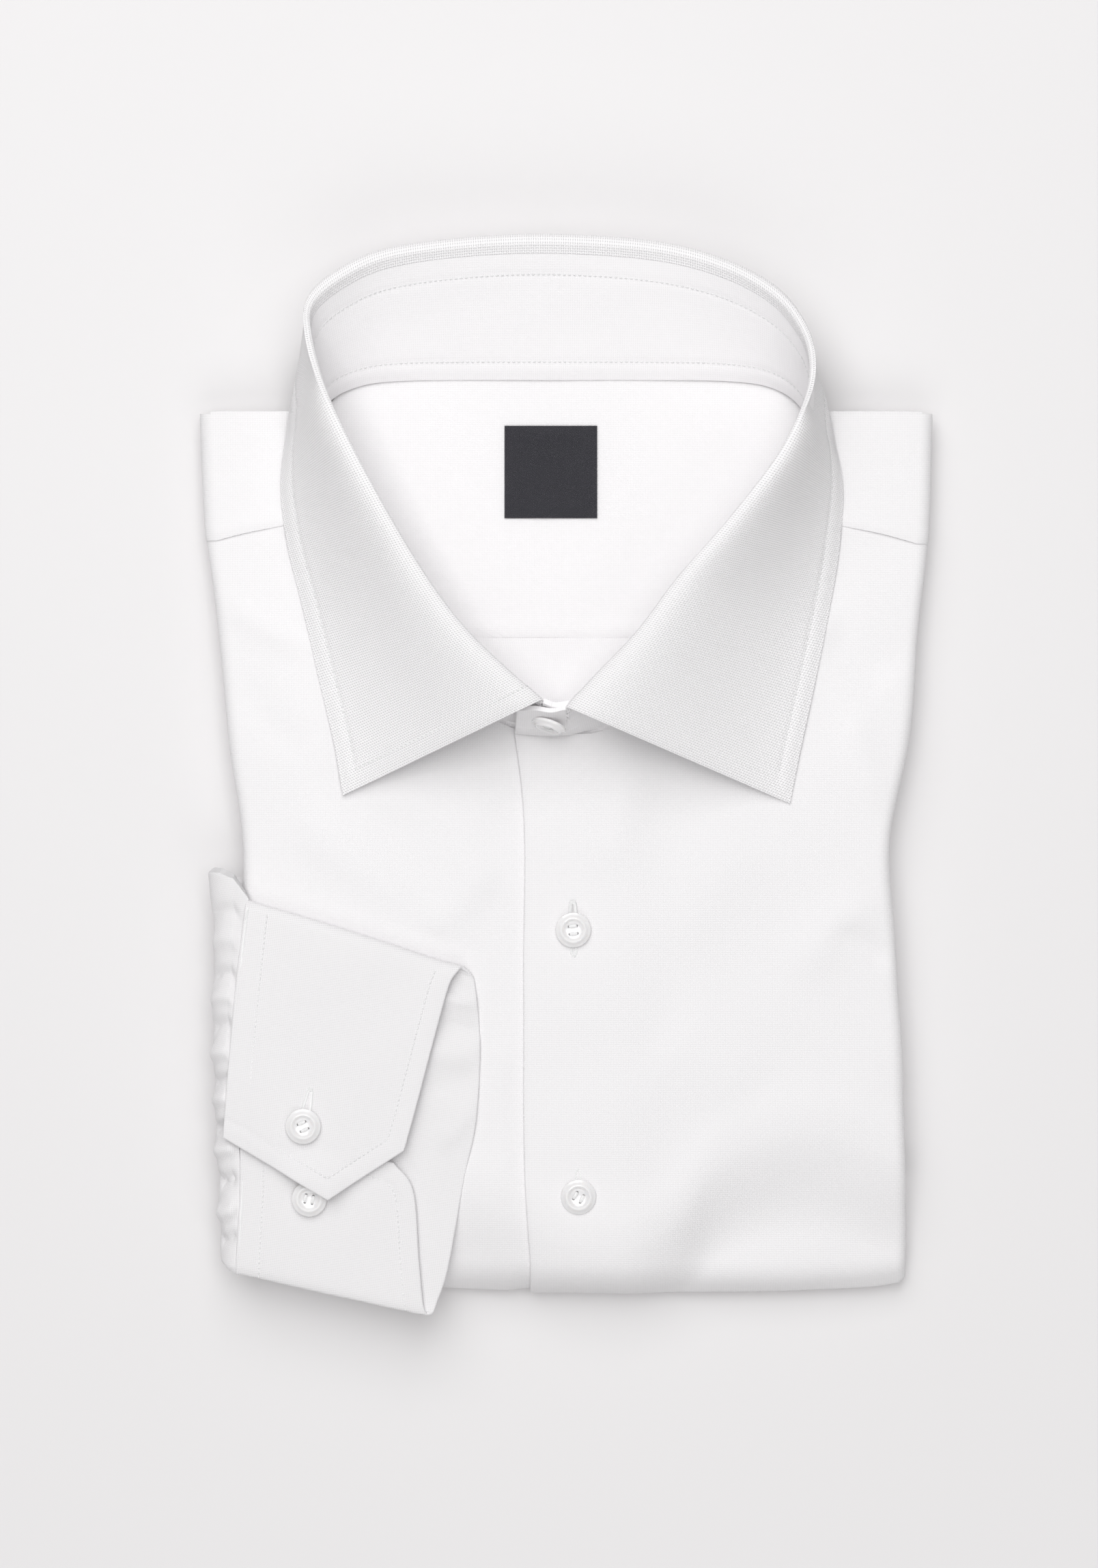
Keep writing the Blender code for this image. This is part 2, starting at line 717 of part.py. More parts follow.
def collar_band(finish):
    """Collar band: from the neck seam to the fold, its two ends overlapping at the throat."""
    lines = []
    for at in np.linspace(0, 1, LEAF_COLUMNS):
        part = collar_section(at)
        lines.append((part["foot"], part["seam"]))
    ends = []
    for row in range(len(BAND_ENDS["side"])):
        foot = np.array([BAND_ENDS["foot_" + axis][row] for axis in "xyz"])
        top = np.array([BAND_ENDS["top_" + axis][row] for axis in "xyz"])
        ends.append((foot, top))
    lines = ends[:2] + lines + ends[2:]
    grid = [[foot + (top - foot) * share for share in np.linspace(0, 1, 4)] for foot, top in lines]
    return cloth_wall("collar_band", grid, BAND_CLOTH, finish)


def cuff_point(row, share):
    """Point of the cuff on one of its sections, from its sleeve edge to its hand edge."""
    left = np.array((CUFF["left_x"][row], CUFF["left_y"][row]))
    right = np.array((CUFF["right_x"][row], CUFF["right_y"][row]))
    x, y = left + (right - left) * share
    height = CUFF["z"][row]
    if row < 3:
        reach = CUFF_TIP_AT if share < CUFF_TIP_AT else 1 - CUFF_TIP_AT
        pointed = 1 - abs(share - CUFF_TIP_AT) / reach
        y -= CUFF_TIP * pointed * (1.0, 0.55, 0.12)[row]
    if row < 4:
        near = math.hypot(x - CUFF_BUTTONS["x"][1], y - CUFF_BUTTONS["y"][1])
        height += CUFF_LIFT * (1 - ease(6.0, 17.0, near))
    return np.array((x, y, cloth_top(x, y) + height))


def cuff(finish):
    """Barrel cuff, flattened: pointed overlap, top fold, far leg, hem fold and underlap."""
    shares = np.concatenate([np.linspace(0, CUFF_TIP_AT, 6), np.linspace(CUFF_TIP_AT, 1, 5)[1:]])
    grid = [[cuff_point(row, share) for share in shares] for row in range(len(CUFF["z"]))]
    return cloth_wall("cuff", grid, CUFF_CLOTH, finish)


def sleeve_ply(turn, y, outer):
    """Point of one ply of the flattened sleeve; outer is True for the ply away from the shirt."""
    edge_x = straight(SLEEVE_END, "y", y, "upper_x" if outer else "lower_x")
    out_x = smooth(SLEEVE_OUTLINE, "y", y, "x") + CLOTH / 2
    top = cloth_top(rim_x(-1, y), y)
    low = top - 2 * CURL_REACH - GAP - CLOTH / 2
    high = top + (straight(SLEEVE_END, "y", y, "upper_z") if outer else GAP + CLOTH / 2)
    if outer:
        low -= 2 * SLEEVE_PLY
    else:
        out_x += 2 * SLEEVE_PLY
    middle = (low + high) / 2
    run_x = -103.4
    if turn <= 0:
        return np.array((run_x - turn * SLEEVE_RUN, y, low))
    if turn <= 1:
        angle = turn * math.pi / 2
        return np.array((run_x + (out_x - run_x) * math.sin(angle), y,
                         middle - (middle - low) * math.cos(angle)))
    angle = (turn - 1) * math.pi / 2
    return np.array((edge_x - (edge_x - out_x) * math.cos(angle), y,
                     middle + (high - middle) * math.sin(angle)))


def sleeve(finish):
    """Sleeve: a flattened tube that comes from behind, round the left edge, to the cuff."""
    grid = []
    for turn, upper, lower in zip(SLEEVE["turn"], SLEEVE["upper_y"], SLEEVE["lower_y"]):
        stations = np.linspace(upper, lower, SLEEVE_COLUMNS)
        outer = [sleeve_ply(turn, y, True) for y in stations]
        inner = [sleeve_ply(turn, y, False) for y in stations[::-1]]
        hem_end = (outer[-1] + inner[0]) / 2 - np.array((0, SLEEVE_PLY, 0))
        top_end = (outer[0] + inner[-1]) / 2 + np.array((0, SLEEVE_PLY, 0))
        grid.append(outer + [hem_end] + inner + [top_end])
    return cloth_wall("sleeve", grid, CLOTH, finish, closed=True)


def label(finish):
    """Square woven label, lying on the inside of the back yoke."""
    half = LABEL_SIZE / 2
    grid = []
    for x in np.linspace(LABEL_CENTRE[0] - half, LABEL_CENTRE[0] + half, 5):
        column = []
        for y in np.linspace(LABEL_CENTRE[1] + half, LABEL_CENTRE[1] - half, 5):
            column.append((x, y, cloth_top(x, y) - BACK_DEPTH + CLOTH / 2 + GAP + LABEL_CLOTH / 2))
        grid.append(column)
    return cloth_wall("label", grid, LABEL_CLOTH, finish)


def button(name, centre, normal, finish):
    """Four-hole button with a raised rim and a bowl; centre is the middle of its lower face."""
    tool = bmesh.new()
    rings = []
    for radius, height in BUTTON_PROFILE:
        ring = []
        for step in range(BUTTON_SIDES):
            turn = 2 * math.pi * step / BUTTON_SIDES
            ring.append(tool.verts.new((radius * math.cos(turn) * MM, radius * math.sin(turn) * MM,
                                        height * MM)))
        rings.append(ring)
    tool.faces.new(rings[0][::-1])
    tool.faces.new(rings[-1])
    for low, high in zip(rings[:-1], rings[1:]):
        for step in range(BUTTON_SIDES):
            following = (step + 1) % BUTTON_SIDES
            tool.faces.new((low[step], low[following], high[following], high[step]))
    mesh = bpy.data.meshes.new(name)
    tool.to_mesh(mesh)
    tool.free()
    mesh.materials.append(finish)
    mesh.shade_smooth()
    mesh.set_sharp_from_angle(angle=math.radians(40))
    piece = bpy.data.objects.new(name, mesh)
    bpy.context.scene.collection.objects.link(piece)
    piece.location = [value * MM for value in centre]
    piece.rotation_euler = Vector(normal).to_track_quat("Z", "Y").to_euler()
    for index, (side_way, up_way) in enumerate(((1, 1), (1, -1), (-1, 1), (-1, -1))):
        cutter_mesh = bpy.data.meshes.new("%s_hole_%d" % (name, index + 1))
        drill = bmesh.new()
        bmesh.ops.create_cone(drill, cap_ends=True, segments=6, depth=10 * MM,
                              radius1=BUTTON_HOLE_RADIUS * MM, radius2=BUTTON_HOLE_RADIUS * MM)
        bmesh.ops.translate(drill, verts=drill.verts, vec=(side_way * BUTTON_HOLE_OFFSET * MM,
                                                           up_way * BUTTON_HOLE_OFFSET * MM, 0))
        drill.to_mesh(cutter_mesh)
        drill.free()
        cutter = bpy.data.objects.new(cutter_mesh.name, cutter_mesh)
        bpy.context.scene.collection.objects.link(cutter)
        cutter.parent = piece
        cutter.hide_render = True
        cutter.display_type = "WIRE"
        cut = piece.modifiers.new("hole_%d" % (index + 1), "BOOLEAN")
        cut.operation = "DIFFERENCE"
        cut.object = cutter
    return piece


def flat_buttons(finish):
    """The four buttons that lie on the placket and on the cuff."""
    for index, (x, y) in enumerate(zip(FRONT_BUTTONS["x"], FRONT_BUTTONS["y"])):
        z = cloth_top(x, y) + PLACKET_LIFT + GAP
        button("button_front_%d" % (index + 1), (x, y, z), (0, 0, 1), finish)
    for index, (x, y, lift) in enumerate(zip(*(CUFF_BUTTONS[name] for name in ("x", "y", "z")))):
        z = cloth_top(x, y) + lift + CUFF_CLOTH / 2 + GAP
        button("button_cuff_%d" % (index + 1), (x, y, z), (0, 0, 1), finish)


def main():
    for thing in list(bpy.data.objects):
        bpy.data.objects.remove(thing, do_unlink=True)
    cotton = material("white_cotton", (0.86, 0.86, 0.87), 0.85)
    woven_label = material("dark_label", (0.02, 0.022, 0.03), 0.8)
    shell = material("pearl_button", (0.82, 0.8, 0.78), 0.25)
    folded_layers(cotton)
    back_panel(cotton)
    yoke(cotton)
    front_panel("front_right", -1, cotton)
    front_panel("front_left", 1, cotton)
    collar_band(cotton)
    collar_leaf(cotton)
    sleeve(cotton)
    cuff(cotton)
    label(woven_label)
    flat_buttons(shell)
    button("button_collar", COLLAR_BUTTON, COLLAR_BUTTON_FACE, shell)


main()
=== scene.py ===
"""Looks of the folded white dress shirt: cloth, thread, buttons, light and camera.

Lengths are millimetres until a mesh is made. The charts repeat the part's own sizes.
"""
import math

import bpy
import numpy as np
from mathutils import Matrix, Vector


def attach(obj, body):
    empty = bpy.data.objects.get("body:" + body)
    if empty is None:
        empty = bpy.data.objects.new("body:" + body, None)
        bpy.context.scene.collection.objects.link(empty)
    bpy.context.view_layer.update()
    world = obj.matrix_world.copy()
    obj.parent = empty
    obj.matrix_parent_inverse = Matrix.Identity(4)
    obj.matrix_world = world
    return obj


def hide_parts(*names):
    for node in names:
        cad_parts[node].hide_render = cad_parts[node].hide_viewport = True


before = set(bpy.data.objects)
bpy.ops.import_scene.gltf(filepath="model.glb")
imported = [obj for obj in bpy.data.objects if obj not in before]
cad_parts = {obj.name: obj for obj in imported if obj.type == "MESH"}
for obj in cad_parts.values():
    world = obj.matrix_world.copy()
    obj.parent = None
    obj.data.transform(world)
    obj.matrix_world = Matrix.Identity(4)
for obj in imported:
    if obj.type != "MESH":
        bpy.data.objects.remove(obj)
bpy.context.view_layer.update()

MM = 0.001
UP = (0.0, 0.0, 1.0)
FAR = 99.0
ALL_EDGES = ("first_row", "last_row", "first_column", "last_column")

# Cloth, in the solids and in the looks
SOLID_CLOTH = 1.2
SHIRTING = 0.5
LEAF_CLOTH = 1.3
LEAF_EDGE_CLOTH = 0.7
BAND_CLOTH = 1.2
CUFF_CLOTH = 1.1
LABEL_CLOTH = 0.5
PLACKET_CLOTH = 1.2
GAP = 0.3

# Stack of layers: depths below the upper face of the fronts
FRONT_DEPTH = SOLID_CLOTH / 2
BACK_DEPTH = SOLID_CLOTH + GAP + SOLID_CLOTH / 2
CURL_RADIUS = 3.6
CURL_REACH = CURL_RADIUS + SOLID_CLOTH / 2
CURL_TUCK = 7.0
SIDE_DROP = 1.8
HALF_WIDTH = 108.0
PLACKET_LIFT = SOLID_CLOTH + GAP
UNDER_PANEL = 31.0
UNDER_EASE = 8
RAMP_START = 30.0
RAMP_END = 50.0
UNDER_TUCK = 26.0
UNDER_SQUASH = 0.6
HEM_TURN_Y = -158.0
TOP_FOLD_Y = 117.0
BACK_SEAM_Y = 44.9
BACK_END_Y = -100.0
BACK_CREASE_X = -5.4
YOKE_LAP = 1.0
YOKE_RAISE = 0.04
YOKE_UNDER_BAND = 4.5
CORNER = 8.0
LIP_END_Y = -122.0
LIP_LEG = 14.0
LIP_ROUND = 1.6
LIP_FLOOR = 0.55
# Hidden folds round the shirt: name, lower and upper share of the free height, inset
FOLDS = (
    ("fold_lower", 0.0, 0.5, 2.0), ("fold_lower_inner", 0.08, 0.42, 3.4),
    ("fold_upper", 0.53, 1.0, 2.2), ("fold_upper_inner", 0.6, 0.93, 3.6),
)
SLEEVE_ROOM = 4.2
RECESS_Y = -128.0
YOKE_NECK_X = 79.5
MIDDLE_SHIFT = 1.5

# Collar
ROLL_RADIUS = 1.8
ROLL_STUB = 2.6
COLLAR_DITCH = 0.05
LEAF_ROLL = 0.17
LEAF_SETTLE = 0.34
LEAF_REST = 0.45
LEAF_LIFT = 0.2
TOPSTITCH_IN = 6.0
LEAF_STATIONS = 300
# Where the cloth is fuller between an edge and its stitches: way in, width
EDGE_FULLNESS = (3.0, 1.9)
GROOVE_WIDTH = 0.75
BAND_STITCH_UP = 6.5
BAND_STITCH_DOWN = 7.0
BAND_END_ROWS = 24
# Rounding of cloth edges in degrees, bow of creases, arches of stitches
ROUND_STEPS = (4, 28, 58, 90)
CREASE_BOW = 0.06
CLOTH_SHARP = 50
BUTTON_SHARP = 35
# A layer below this height is turned under the shirt
TURNED_Z = 8.0
# Height of soft waves, depth of stitch grooves and sink of stitches, by cloth
SLACK = {"front": 0.24, "back": 0.1, "yoke": 0.08, "leaf": 0.1, "band": 0.06, "cuff": 0.2}
GROOVES = {"leaf": 0.22, "band": 0.16, "cuff": 0.14, "cuff_seam": 0.18}
SINKS = {"leaf": 0.1, "band": 0.04, "cuff": 0.08}
BUTTON_THREAD = 0.24
SATIN_THREAD = 0.2
SATIN_PITCH = 0.27
STITCH_ARCH = (-0.14, 0.02, 0.06, 0.02, -0.14)
SATIN_ARCH = (0.02, 0.14, 0.17, 0.1, -0.08)
# Slow waves of handled cloth: turn, length, start
SOFT_WAVES = ((0.4, 47, 0.3), (1.3, 61, 1.9), (2.2, 39, 4.1), (2.9, 73, 5.2))

# Label and buttons
LABEL_SIZE = 30.0
LABEL_CENTRE = (-5.0, 97.4)
LABEL_LIFT = 0.35
BUTTON_HOLE_RADIUS = 0.42
BUTTON_HOLE_OFFSET = 1.2
BUTTON_SIDES = 96
BUTTON_LIFT = 0.3
BUTTON_OUTLINE = (
    (4.6, 0), (5.25, 0.12), (5.55, 0.4), (5.65, 0.8), (5.5, 1.12), (5.1, 1.34), (4.7, 1.52),
    (4.42, 1.78), (4.2, 2.1), (3.95, 2.32), (3.68, 2.38), (3.42, 2.22), (3.2, 1.92), (2.95, 1.68),
    (2.5, 1.52), (1.6, 1.44), (0.7, 1.42),
)

# Finishes
WEFT_PITCH = 0.88
COTTON_COLOUR = (0.972, 0.957, 0.967)
# Cottons: name, pitch and depth of the weave, painted shade in its gaps, and tone, which is painted
# light: one white cotton, lighter or darker on each piece
COTTONS = (
    ("shirting", 0.8, 0.06, 0.92, 0.885), ("collar_cotton", 0.84, 0.17, 0.56, 0.99),
    ("band_cotton", 0.8, 0.04, 0.9, 0.95), ("cuff_cotton", 0.62, 0.06, 0.78, 0.875),
)
# Millimetres between the ribs and between the slanting floats of the label
LABEL_RIB = 0.35
LABEL_PICK = 0.5
# Dark label colour, darker in the troughs of its floats and lighter on their crests: painted shade
# and highlight
LABEL_COLOURS_WITH_PAINTED_SHADE = ((0.010, 0.010, 0.015), (0.030, 0.029, 0.039))
PEARL_COLOURS = ((0.8, 0.785, 0.785), (0.95, 0.935, 0.935))

# Light, floor and camera
PAPER_COLOUR = (0.80, 0.787, 0.79)
WORLD_STRENGTH = 0.28
LIGHTS = (
    ("key", (-0.22, 0.95, 1.15), (0, 0, 0), (1.3, 0.8), 7.5),
    ("overhead", (-0.1, 0.3, 1.9), (0, 0, 0), (1.3, 1.3), 20.0),
    ("fill", (0.1, -1.1, 1.3), (0, 0, 0), (1.6, 0.9), 5.0),
)
CAMERA_PLACE = (-5.6, -3.5, 1400.0)
FRAME_HEIGHT_Z = 20.0
FRAME_LONG_SIDE = 505.1
SENSOR = 36.0
FLOOR_SIZE = 6.0

# Cuff and sleeve
CUFF_LIFT = 2.6
CUFF_TIP = 17.5
CUFF_TIP_AT = 0.58
SLEEVE_PLY = 1.4
SLEEVE_RUN = 16.0
SLEEVE_RUN_X = -103.4
CUFF_SLEEVE_STITCH = 7.6
CUFF_LEAN = -6.0
OVERLAP_ROWS = 62
UNDERLAP_ROWS = 48
SEAM_CORD = 0.42
# Cloth under the cuff lies flat: below this height and slope of a line, left of this x
CUFF_TOP = (-62.0, -0.31, -18.0)


def table(names, *rows):
    """Columns of a short table, by name."""
    return {name: np.array(column, float) for name, column in zip(names.split(), zip(*rows))}


SIDES = table(
    "y left right",
    (-168, -104.5, 109.5), (-158, -105.2, 110.6), (-136, -105.4, 110.1), (-60, -105.3, 107),
    (-24, -105.1, 104.8), (10, -109.2, 110.9), (50, -113.4, 114.9), (74, -117, 117.6),
    (117, -119.4, 119.4),
)
HEIGHTS = table(
    "y z",
    (-168, 20.9), (-100, 21.8), (0, 20.3), (74, 17), (100, 15.7), (125, 15.5),
)
HEM_EDGE = table(
    "x y",
    (-120, -157.5), (-100, -159), (-70, -164.5), (-35, -167.5), (0, -168.2), (80, -168),
    (104, -166.5), (120, -163),
)
PLACKET = table(
    "y x",
    (-170, -10.7), (-136, -13.1), (-67, -13.8), (-3.5, -14.6), (14, -17),
)
FRONT_TOP = table(
    "across y",
    (0, 13), (10, 13), (24, 18.5), (40, 28), (55, 44), (68, 64), (76, 84), (90, 81), (104, 78.2),
    (119, 74),
)
BACK_NECK = table(
    "across y",
    (0, 125.8), (32, 125.9), (52, 125.6), (66, 123.6), (74, 120), (79.5, 116.4),
)
COLLAR = table(
    "fold_z l_fold_x l_fold_y r_fold_x r_fold_y l_edge_x l_edge_y r_edge_x r_edge_y "
    "l_seam_x l_seam_y r_seam_x r_seam_y",
    (45.5, -8.2, 22.9, 0.4, 20.6, -72, -7.3, 72.1, -9.9, -9.5, 15.2, 1.5, 12.3),
    (46.5, -19.8, 32.8, 10.8, 31.8, -74.8, 9, 75.4, 7, -25, 18.8, 16, 17.2),
    (47, -32.1, 44.8, 23.1, 45, -79.6, 29, 80.2, 29, -41, 29, 32, 27.5),
    (47.5, -44.4, 61, 35.5, 61.4, -84.8, 51.5, 84.9, 52, -56, 44.5, 48, 43.5),
    (48, -57, 82, 52, 80.2, -90.2, 73.5, 88.3, 73, -69, 65, 64.5, 63),
    (47.5, -69.3, 104.6, 67.7, 100.8, -92.3, 93, 89.4, 92, -77.5, 85.5, 76, 83.5),
    (45.5, -78.1, 123.5, 76.6, 119.4, -90.6, 109, 86.8, 106, -80.8, 102, 79.7, 99),
    (43, -82.6, 140.2, 78.2, 132, -88, 122, 83.4, 120.5, -80, 113.5, 79.3, 110.5),
    (40, -81.4, 151, 74.6, 143.4, -83.5, 135, 77, 133.5, -75.6, 120.9, 74.8, 119.4),
    (36.8, -70.4, 160.3, 65.5, 154.2, -70.5, 143.5, 65, 141, -66.5, 125.2, 66, 124.8),
    (34.5, -55.8, 166.4, 49.8, 162.9, -55, 145, 49, 143, -54, 126.8, 52, 126.8),
    (33, -31, 170, 29, 168.6, -31, 144.5, 29, 144, -30, 127.1, 28, 127.1),
    (32.5, -3, 171, -3, 171, -3, 144.5, -3, 144.5, -3, 127.1, -3, 127.1),
)
COLLAR_ROWS = len(COLLAR["fold_z"])
LEAF_EDGE_HEIGHTS = table(
    "y z",
    (118, 17.4), (123, 16.4), (131, 11), (138, 4.5), (144, 1.4), (150, 1.4),
)
BAND_FOOT_HEIGHTS = table(
    "y z",
    (100, 17.1), (112, 16.8), (118, 15.6), (124, 14.3), (128, 14),
)
BAND_ENDS = table(
    "side foot_x foot_y foot_z top_x top_y top_z",
    (0, 8, 16.2, 21.7, 7.6, 24.4, 39.5), (0, 1.6, 15.9, 21.7, 1.4, 22.4, 42.4),
    (0, -3.4, 15.6, 21.7, -3.6, 21.6, 43), (0, -7.4, 15.4, 21.7, -7.4, 22.8, 43.6),
    (1, -0.2, 12.2, 22.8, -0.4, 20.7, 43.8), (1, -5, 12, 22.8, -5, 19.9, 42.6),
    (1, -10.4, 12.2, 22.7, -10.2, 20.6, 42.4), (1, -16.6, 12.8, 22.4, -16, 20.4, 41.6),
)
BAND_END_CLOTH = 1.6
BAND_FOOT_CLOTH = 0.5
CUFF = table(
    "left_x left_y right_x right_y z",
    (-110.2, -117, -52, -121, 5.9), (-109.4, -106, -48.4, -108, 5.9),
    (-108.2, -91, -43.8, -90.5, 5.9), (-106, -67, -40.2, -77, 5.6),
    (-103.6, -46, -37.4, -67.5, 5.4), (-103, -42, -34.8, -63.6, 4.8),
    (-102.9, -41, -33.2, -62.6, 3.3), (-103.1, -42.2, -30.6, -64.6, 1.7),
    (-103.6, -46.5, -29.2, -69, 1.2), (-105.4, -67, -27.7, -88, 1.2), (-106.2, -92, -29, -112, 1.2),
    (-106.4, -117, -32.9, -131, 1.2), (-106.3, -140, -38, -159, 1.2),
    (-106.3, -156, -41.4, -169.8, 1.25), (-106.4, -159.4, -42.6, -173.2, 1.7),
    (-106.4, -160.5, -43.6, -174, 2.4), (-106.3, -159.4, -45.2, -173.2, 3.1),
    (-106.2, -156, -46.2, -169, 3.5), (-105.5, -143, -47.4, -155.8, 3.6),
    (-105, -132, -49.2, -134, 3.6), (-104.9, -113.5, -55.5, -125, 3.6),
)
SLEEVE = table(
    "turn upper_y lower_y",
    (-1, -37, -142), (-0.5, -36.5, -142), (0, -36, -142.5), (0.3, -35, -143), (0.6, -34, -144.5),
    (0.8, -33, -148), (1, -32.4, -153), (1.25, -32, -157), (1.5, -32.2, -158.6), (1.75, -34, -159),
    (2, -40.5, -159),
)
SLEEVE_OUTLINE = table(
    "y x",
    (-165, -111.2), (-140, -111.2), (-120, -112.4), (-100, -112.8), (-75, -113.6), (-50, -113),
    (-40, -114.2), (-30, -115.2),
)
SLEEVE_END = table(
    "y upper_x upper_z lower_x",
    (-165, -104.9, 2.8, -105.5), (-127, -104.9, 2.8, -105.5), (-119, -105.2, 3, -105.5),
    (-111, -107.6, 4.9, -105.5), (-91, -106.6, 5.1, -105.5), (-67, -104.4, 5, -104.8),
    (-46, -102.2, 4.8, -103.2), (-30, -102.2, 4.6, -103.2),
)
FRONT_BUTTONS = table("x y", (2.2, -50.4), (3.9, -136.2))
CUFF_BUTTONS = table("x y z", (-84.3, -113.1, 6.3), (-82.5, -136.6, 3.6))
# Gathers of the sleeve at the cuff: place along the tube, width, height
SLEEVE_GATHERS = (
    (0.07, 0.02, -1), (0.14, 0.025, 1.2), (0.23, 0.018, -1.4), (0.29, 0.016, 1), (0.36, 0.02, -1.5),
    (0.43, 0.02, 1.5), (0.5, 0.014, -1.4), (0.55, 0.016, 1.2), (0.62, 0.014, -1.7),
    (0.68, 0.018, 1.5), (0.76, 0.02, -2), (0.84, 0.02, 1.7), (0.91, 0.016, -1.4),
)
# Soft creases of the fronts: two ends, width, height
FRONT_CREASES = (
    (-88, -12, -40, -44, 8, 1.3), (-80, 2, -46, -22, 6, -0.7), (-46, -52, -24, -26, 7, 1.3),
    (-22, -84, -20, -136, 4.5, 0.9), (-110, 56, -80, 40, 5, 0.9), (-104, 30, -86, 6, 6, -0.7),
    (84, 46, 106, 30, 7, -1.1), (92, 20, 104, -12, 5, 0.7), (100, -40, 72, -66, 8, 1.1),
    (60, -20, 34, -60, 12, 0.9), (104, -62, 86, -50, 4, -0.9), (30, -84, 60, -104, 12, 0.9),
    (26, 4, 12, -34, 7, 0.7), (-24, 0, -36, -40, 7, 0.7),
)
# Line from which the cloth slopes down to the hem end
HEM_CREST = table(
    "x y",
    (-119, -150), (-60, -146), (-30, -136), (-12, -144), (5, -151), (22, -151), (34, -143),
    (47, -126), (68, -116), (90, -117), (104, -122), (119, -126),
)
HEM_SLOPE = 7.5
HEM_SLOPE_RUN = 34.0
# Creases inside the cuff's far side: two ends, width, height
CUFF_CREASES = (
    (-44, -70, -26, -74, 2, 1.3), (-44, -78, -26, -83, 2.4, -1.1), (-46, -88, -27, -90, 3, 1.2),
    (-46, -100, -28, -98, 3.5, -0.9), (-42, -120, -30, -106, 3, 0.8),
)
COLLAR_BUTTON = (-5.4, 15.8, 35.0)
COLLAR_BUTTON_FACE = (-0.3, -0.92, 0.26)


def curve(keys, values, at):
    """Values on the smooth curve through values at keys, at one place or at many."""
    slopes = np.gradient(values, keys)
    at = np.clip(np.asarray(at, float), keys[0], keys[-1])
    index = np.clip(np.searchsorted(keys, at) - 1, 0, len(keys) - 2)
    step = keys[index + 1] - keys[index]
    t = (at - keys[index]) / step
    start = values[index] * (1 + 2 * t) * (1 - t) ** 2 + slopes[index] * step * t * (1 - t) ** 2
    end = values[index + 1] * (3 - 2 * t) * t * t + slopes[index + 1] * step * t * t * (t - 1)
    return start + end


def smooth(chart, at, column):
    """Values of a column on the smooth curve along a table's first column."""
    return curve(next(iter(chart.values())), chart[column], at)


def straight(chart, at, column):
    """Values of a column on the straight lines along a table's first column."""
    return np.interp(at, next(iter(chart.values())), chart[column])


def ease(low, high, at):
    """0 below low, 1 above high, with a soft rise between."""
    t = np.clip((np.asarray(at, float) - low) / (high - low), 0.0, 1.0)
    return t * t * (3 - 2 * t)


def hump(off, width):
    """Soft ridge: 1 in its middle, by the distance off it."""
    return np.exp(-(off / width) ** 2)


def unit(vectors):
    return vectors / (np.linalg.norm(vectors, axis=-1, keepdims=True) + 1e-12)


def join(*parts, axis=0):
    return np.concatenate(parts, axis=axis)


def points_of(*columns):
    """Points from their coordinates, each of them a number, a line or a grid."""
    return np.stack(np.broadcast_arrays(*columns), axis=-1)


def spread(start, stop, count):
    return np.linspace(start, stop, count)


def side_x(side, y):
    left, right = (smooth(SIDES, y, name) for name in ("left", "right"))
    return np.where(np.asarray(side) > 0, right, left)


def rim_x(side, y):
    return side_x(side, y) - side * CURL_REACH


def cloth_top(x, y):
    return smooth(HEIGHTS, y, "z") - SIDE_DROP * (np.abs(x) / HALF_WIDTH) ** 4


def placket_x(y):
    return smooth(PLACKET, y, "x")


def front_top(x):
    return smooth(FRONT_TOP, np.abs(x + MIDDLE_SHIFT), "y")


def fold_start(x):
    edge = smooth(HEM_EDGE, x, "y")
    return edge + cloth_top(x, edge) / 2


def creases(x, y, rows):
    """Height of soft troughs and ridges: each row is two ends, a width and a height."""
    relief = np.zeros_like(x)
    for x0, y0, x1, y1, width, height in rows:
        along = np.array((x1 - x0, y1 - y0), float)
        length = np.hypot(*along)
        share = ((x - x0) * along[0] + (y - y0) * along[1]) / length ** 2
        bow = CREASE_BOW * length * np.sin(np.pi * np.clip(share, 0, 1))
        off = ((x - x0) * along[1] - (y - y0) * along[0]) / length - bow
        ends = ease(-0.08, 0.25, share) * (1 - ease(0.7, 1.08, share))
        relief += height * ends * hump(off, width)
    return relief


def soft_waves(x, y, height):
    """Slow uneven waves of cloth that has been pressed and handled."""
    waves = np.zeros_like(x)
    for turn, length, start in SOFT_WAVES:
        along = x * math.cos(turn) + y * math.sin(turn)
        waves += np.sin(2 * math.pi * along / length + start + 0.8 * np.sin(y / 31 + start))
    return waves * height / 2


# Surfaces on grids of points
def grid_normals(points, closed=False):
    """Normals of a grid of points, pointing to the side that the rows and columns turn to."""
    down = np.gradient(points, axis=0)
    if closed:
        right = (np.roll(points, -1, axis=1) - np.roll(points, 1, axis=1)) / 2
    else:
        right = np.gradient(points, axis=1)
    return unit(np.cross(down, right))


def lengths(points, axis=0):
    """Length along the cloth from the first row, or with axis 1 from the first column."""
    steps = np.linalg.norm(np.diff(points, axis=axis), axis=-1)
    return join(np.zeros_like(steps.take([0], axis)), np.cumsum(steps, axis=axis), axis=axis)


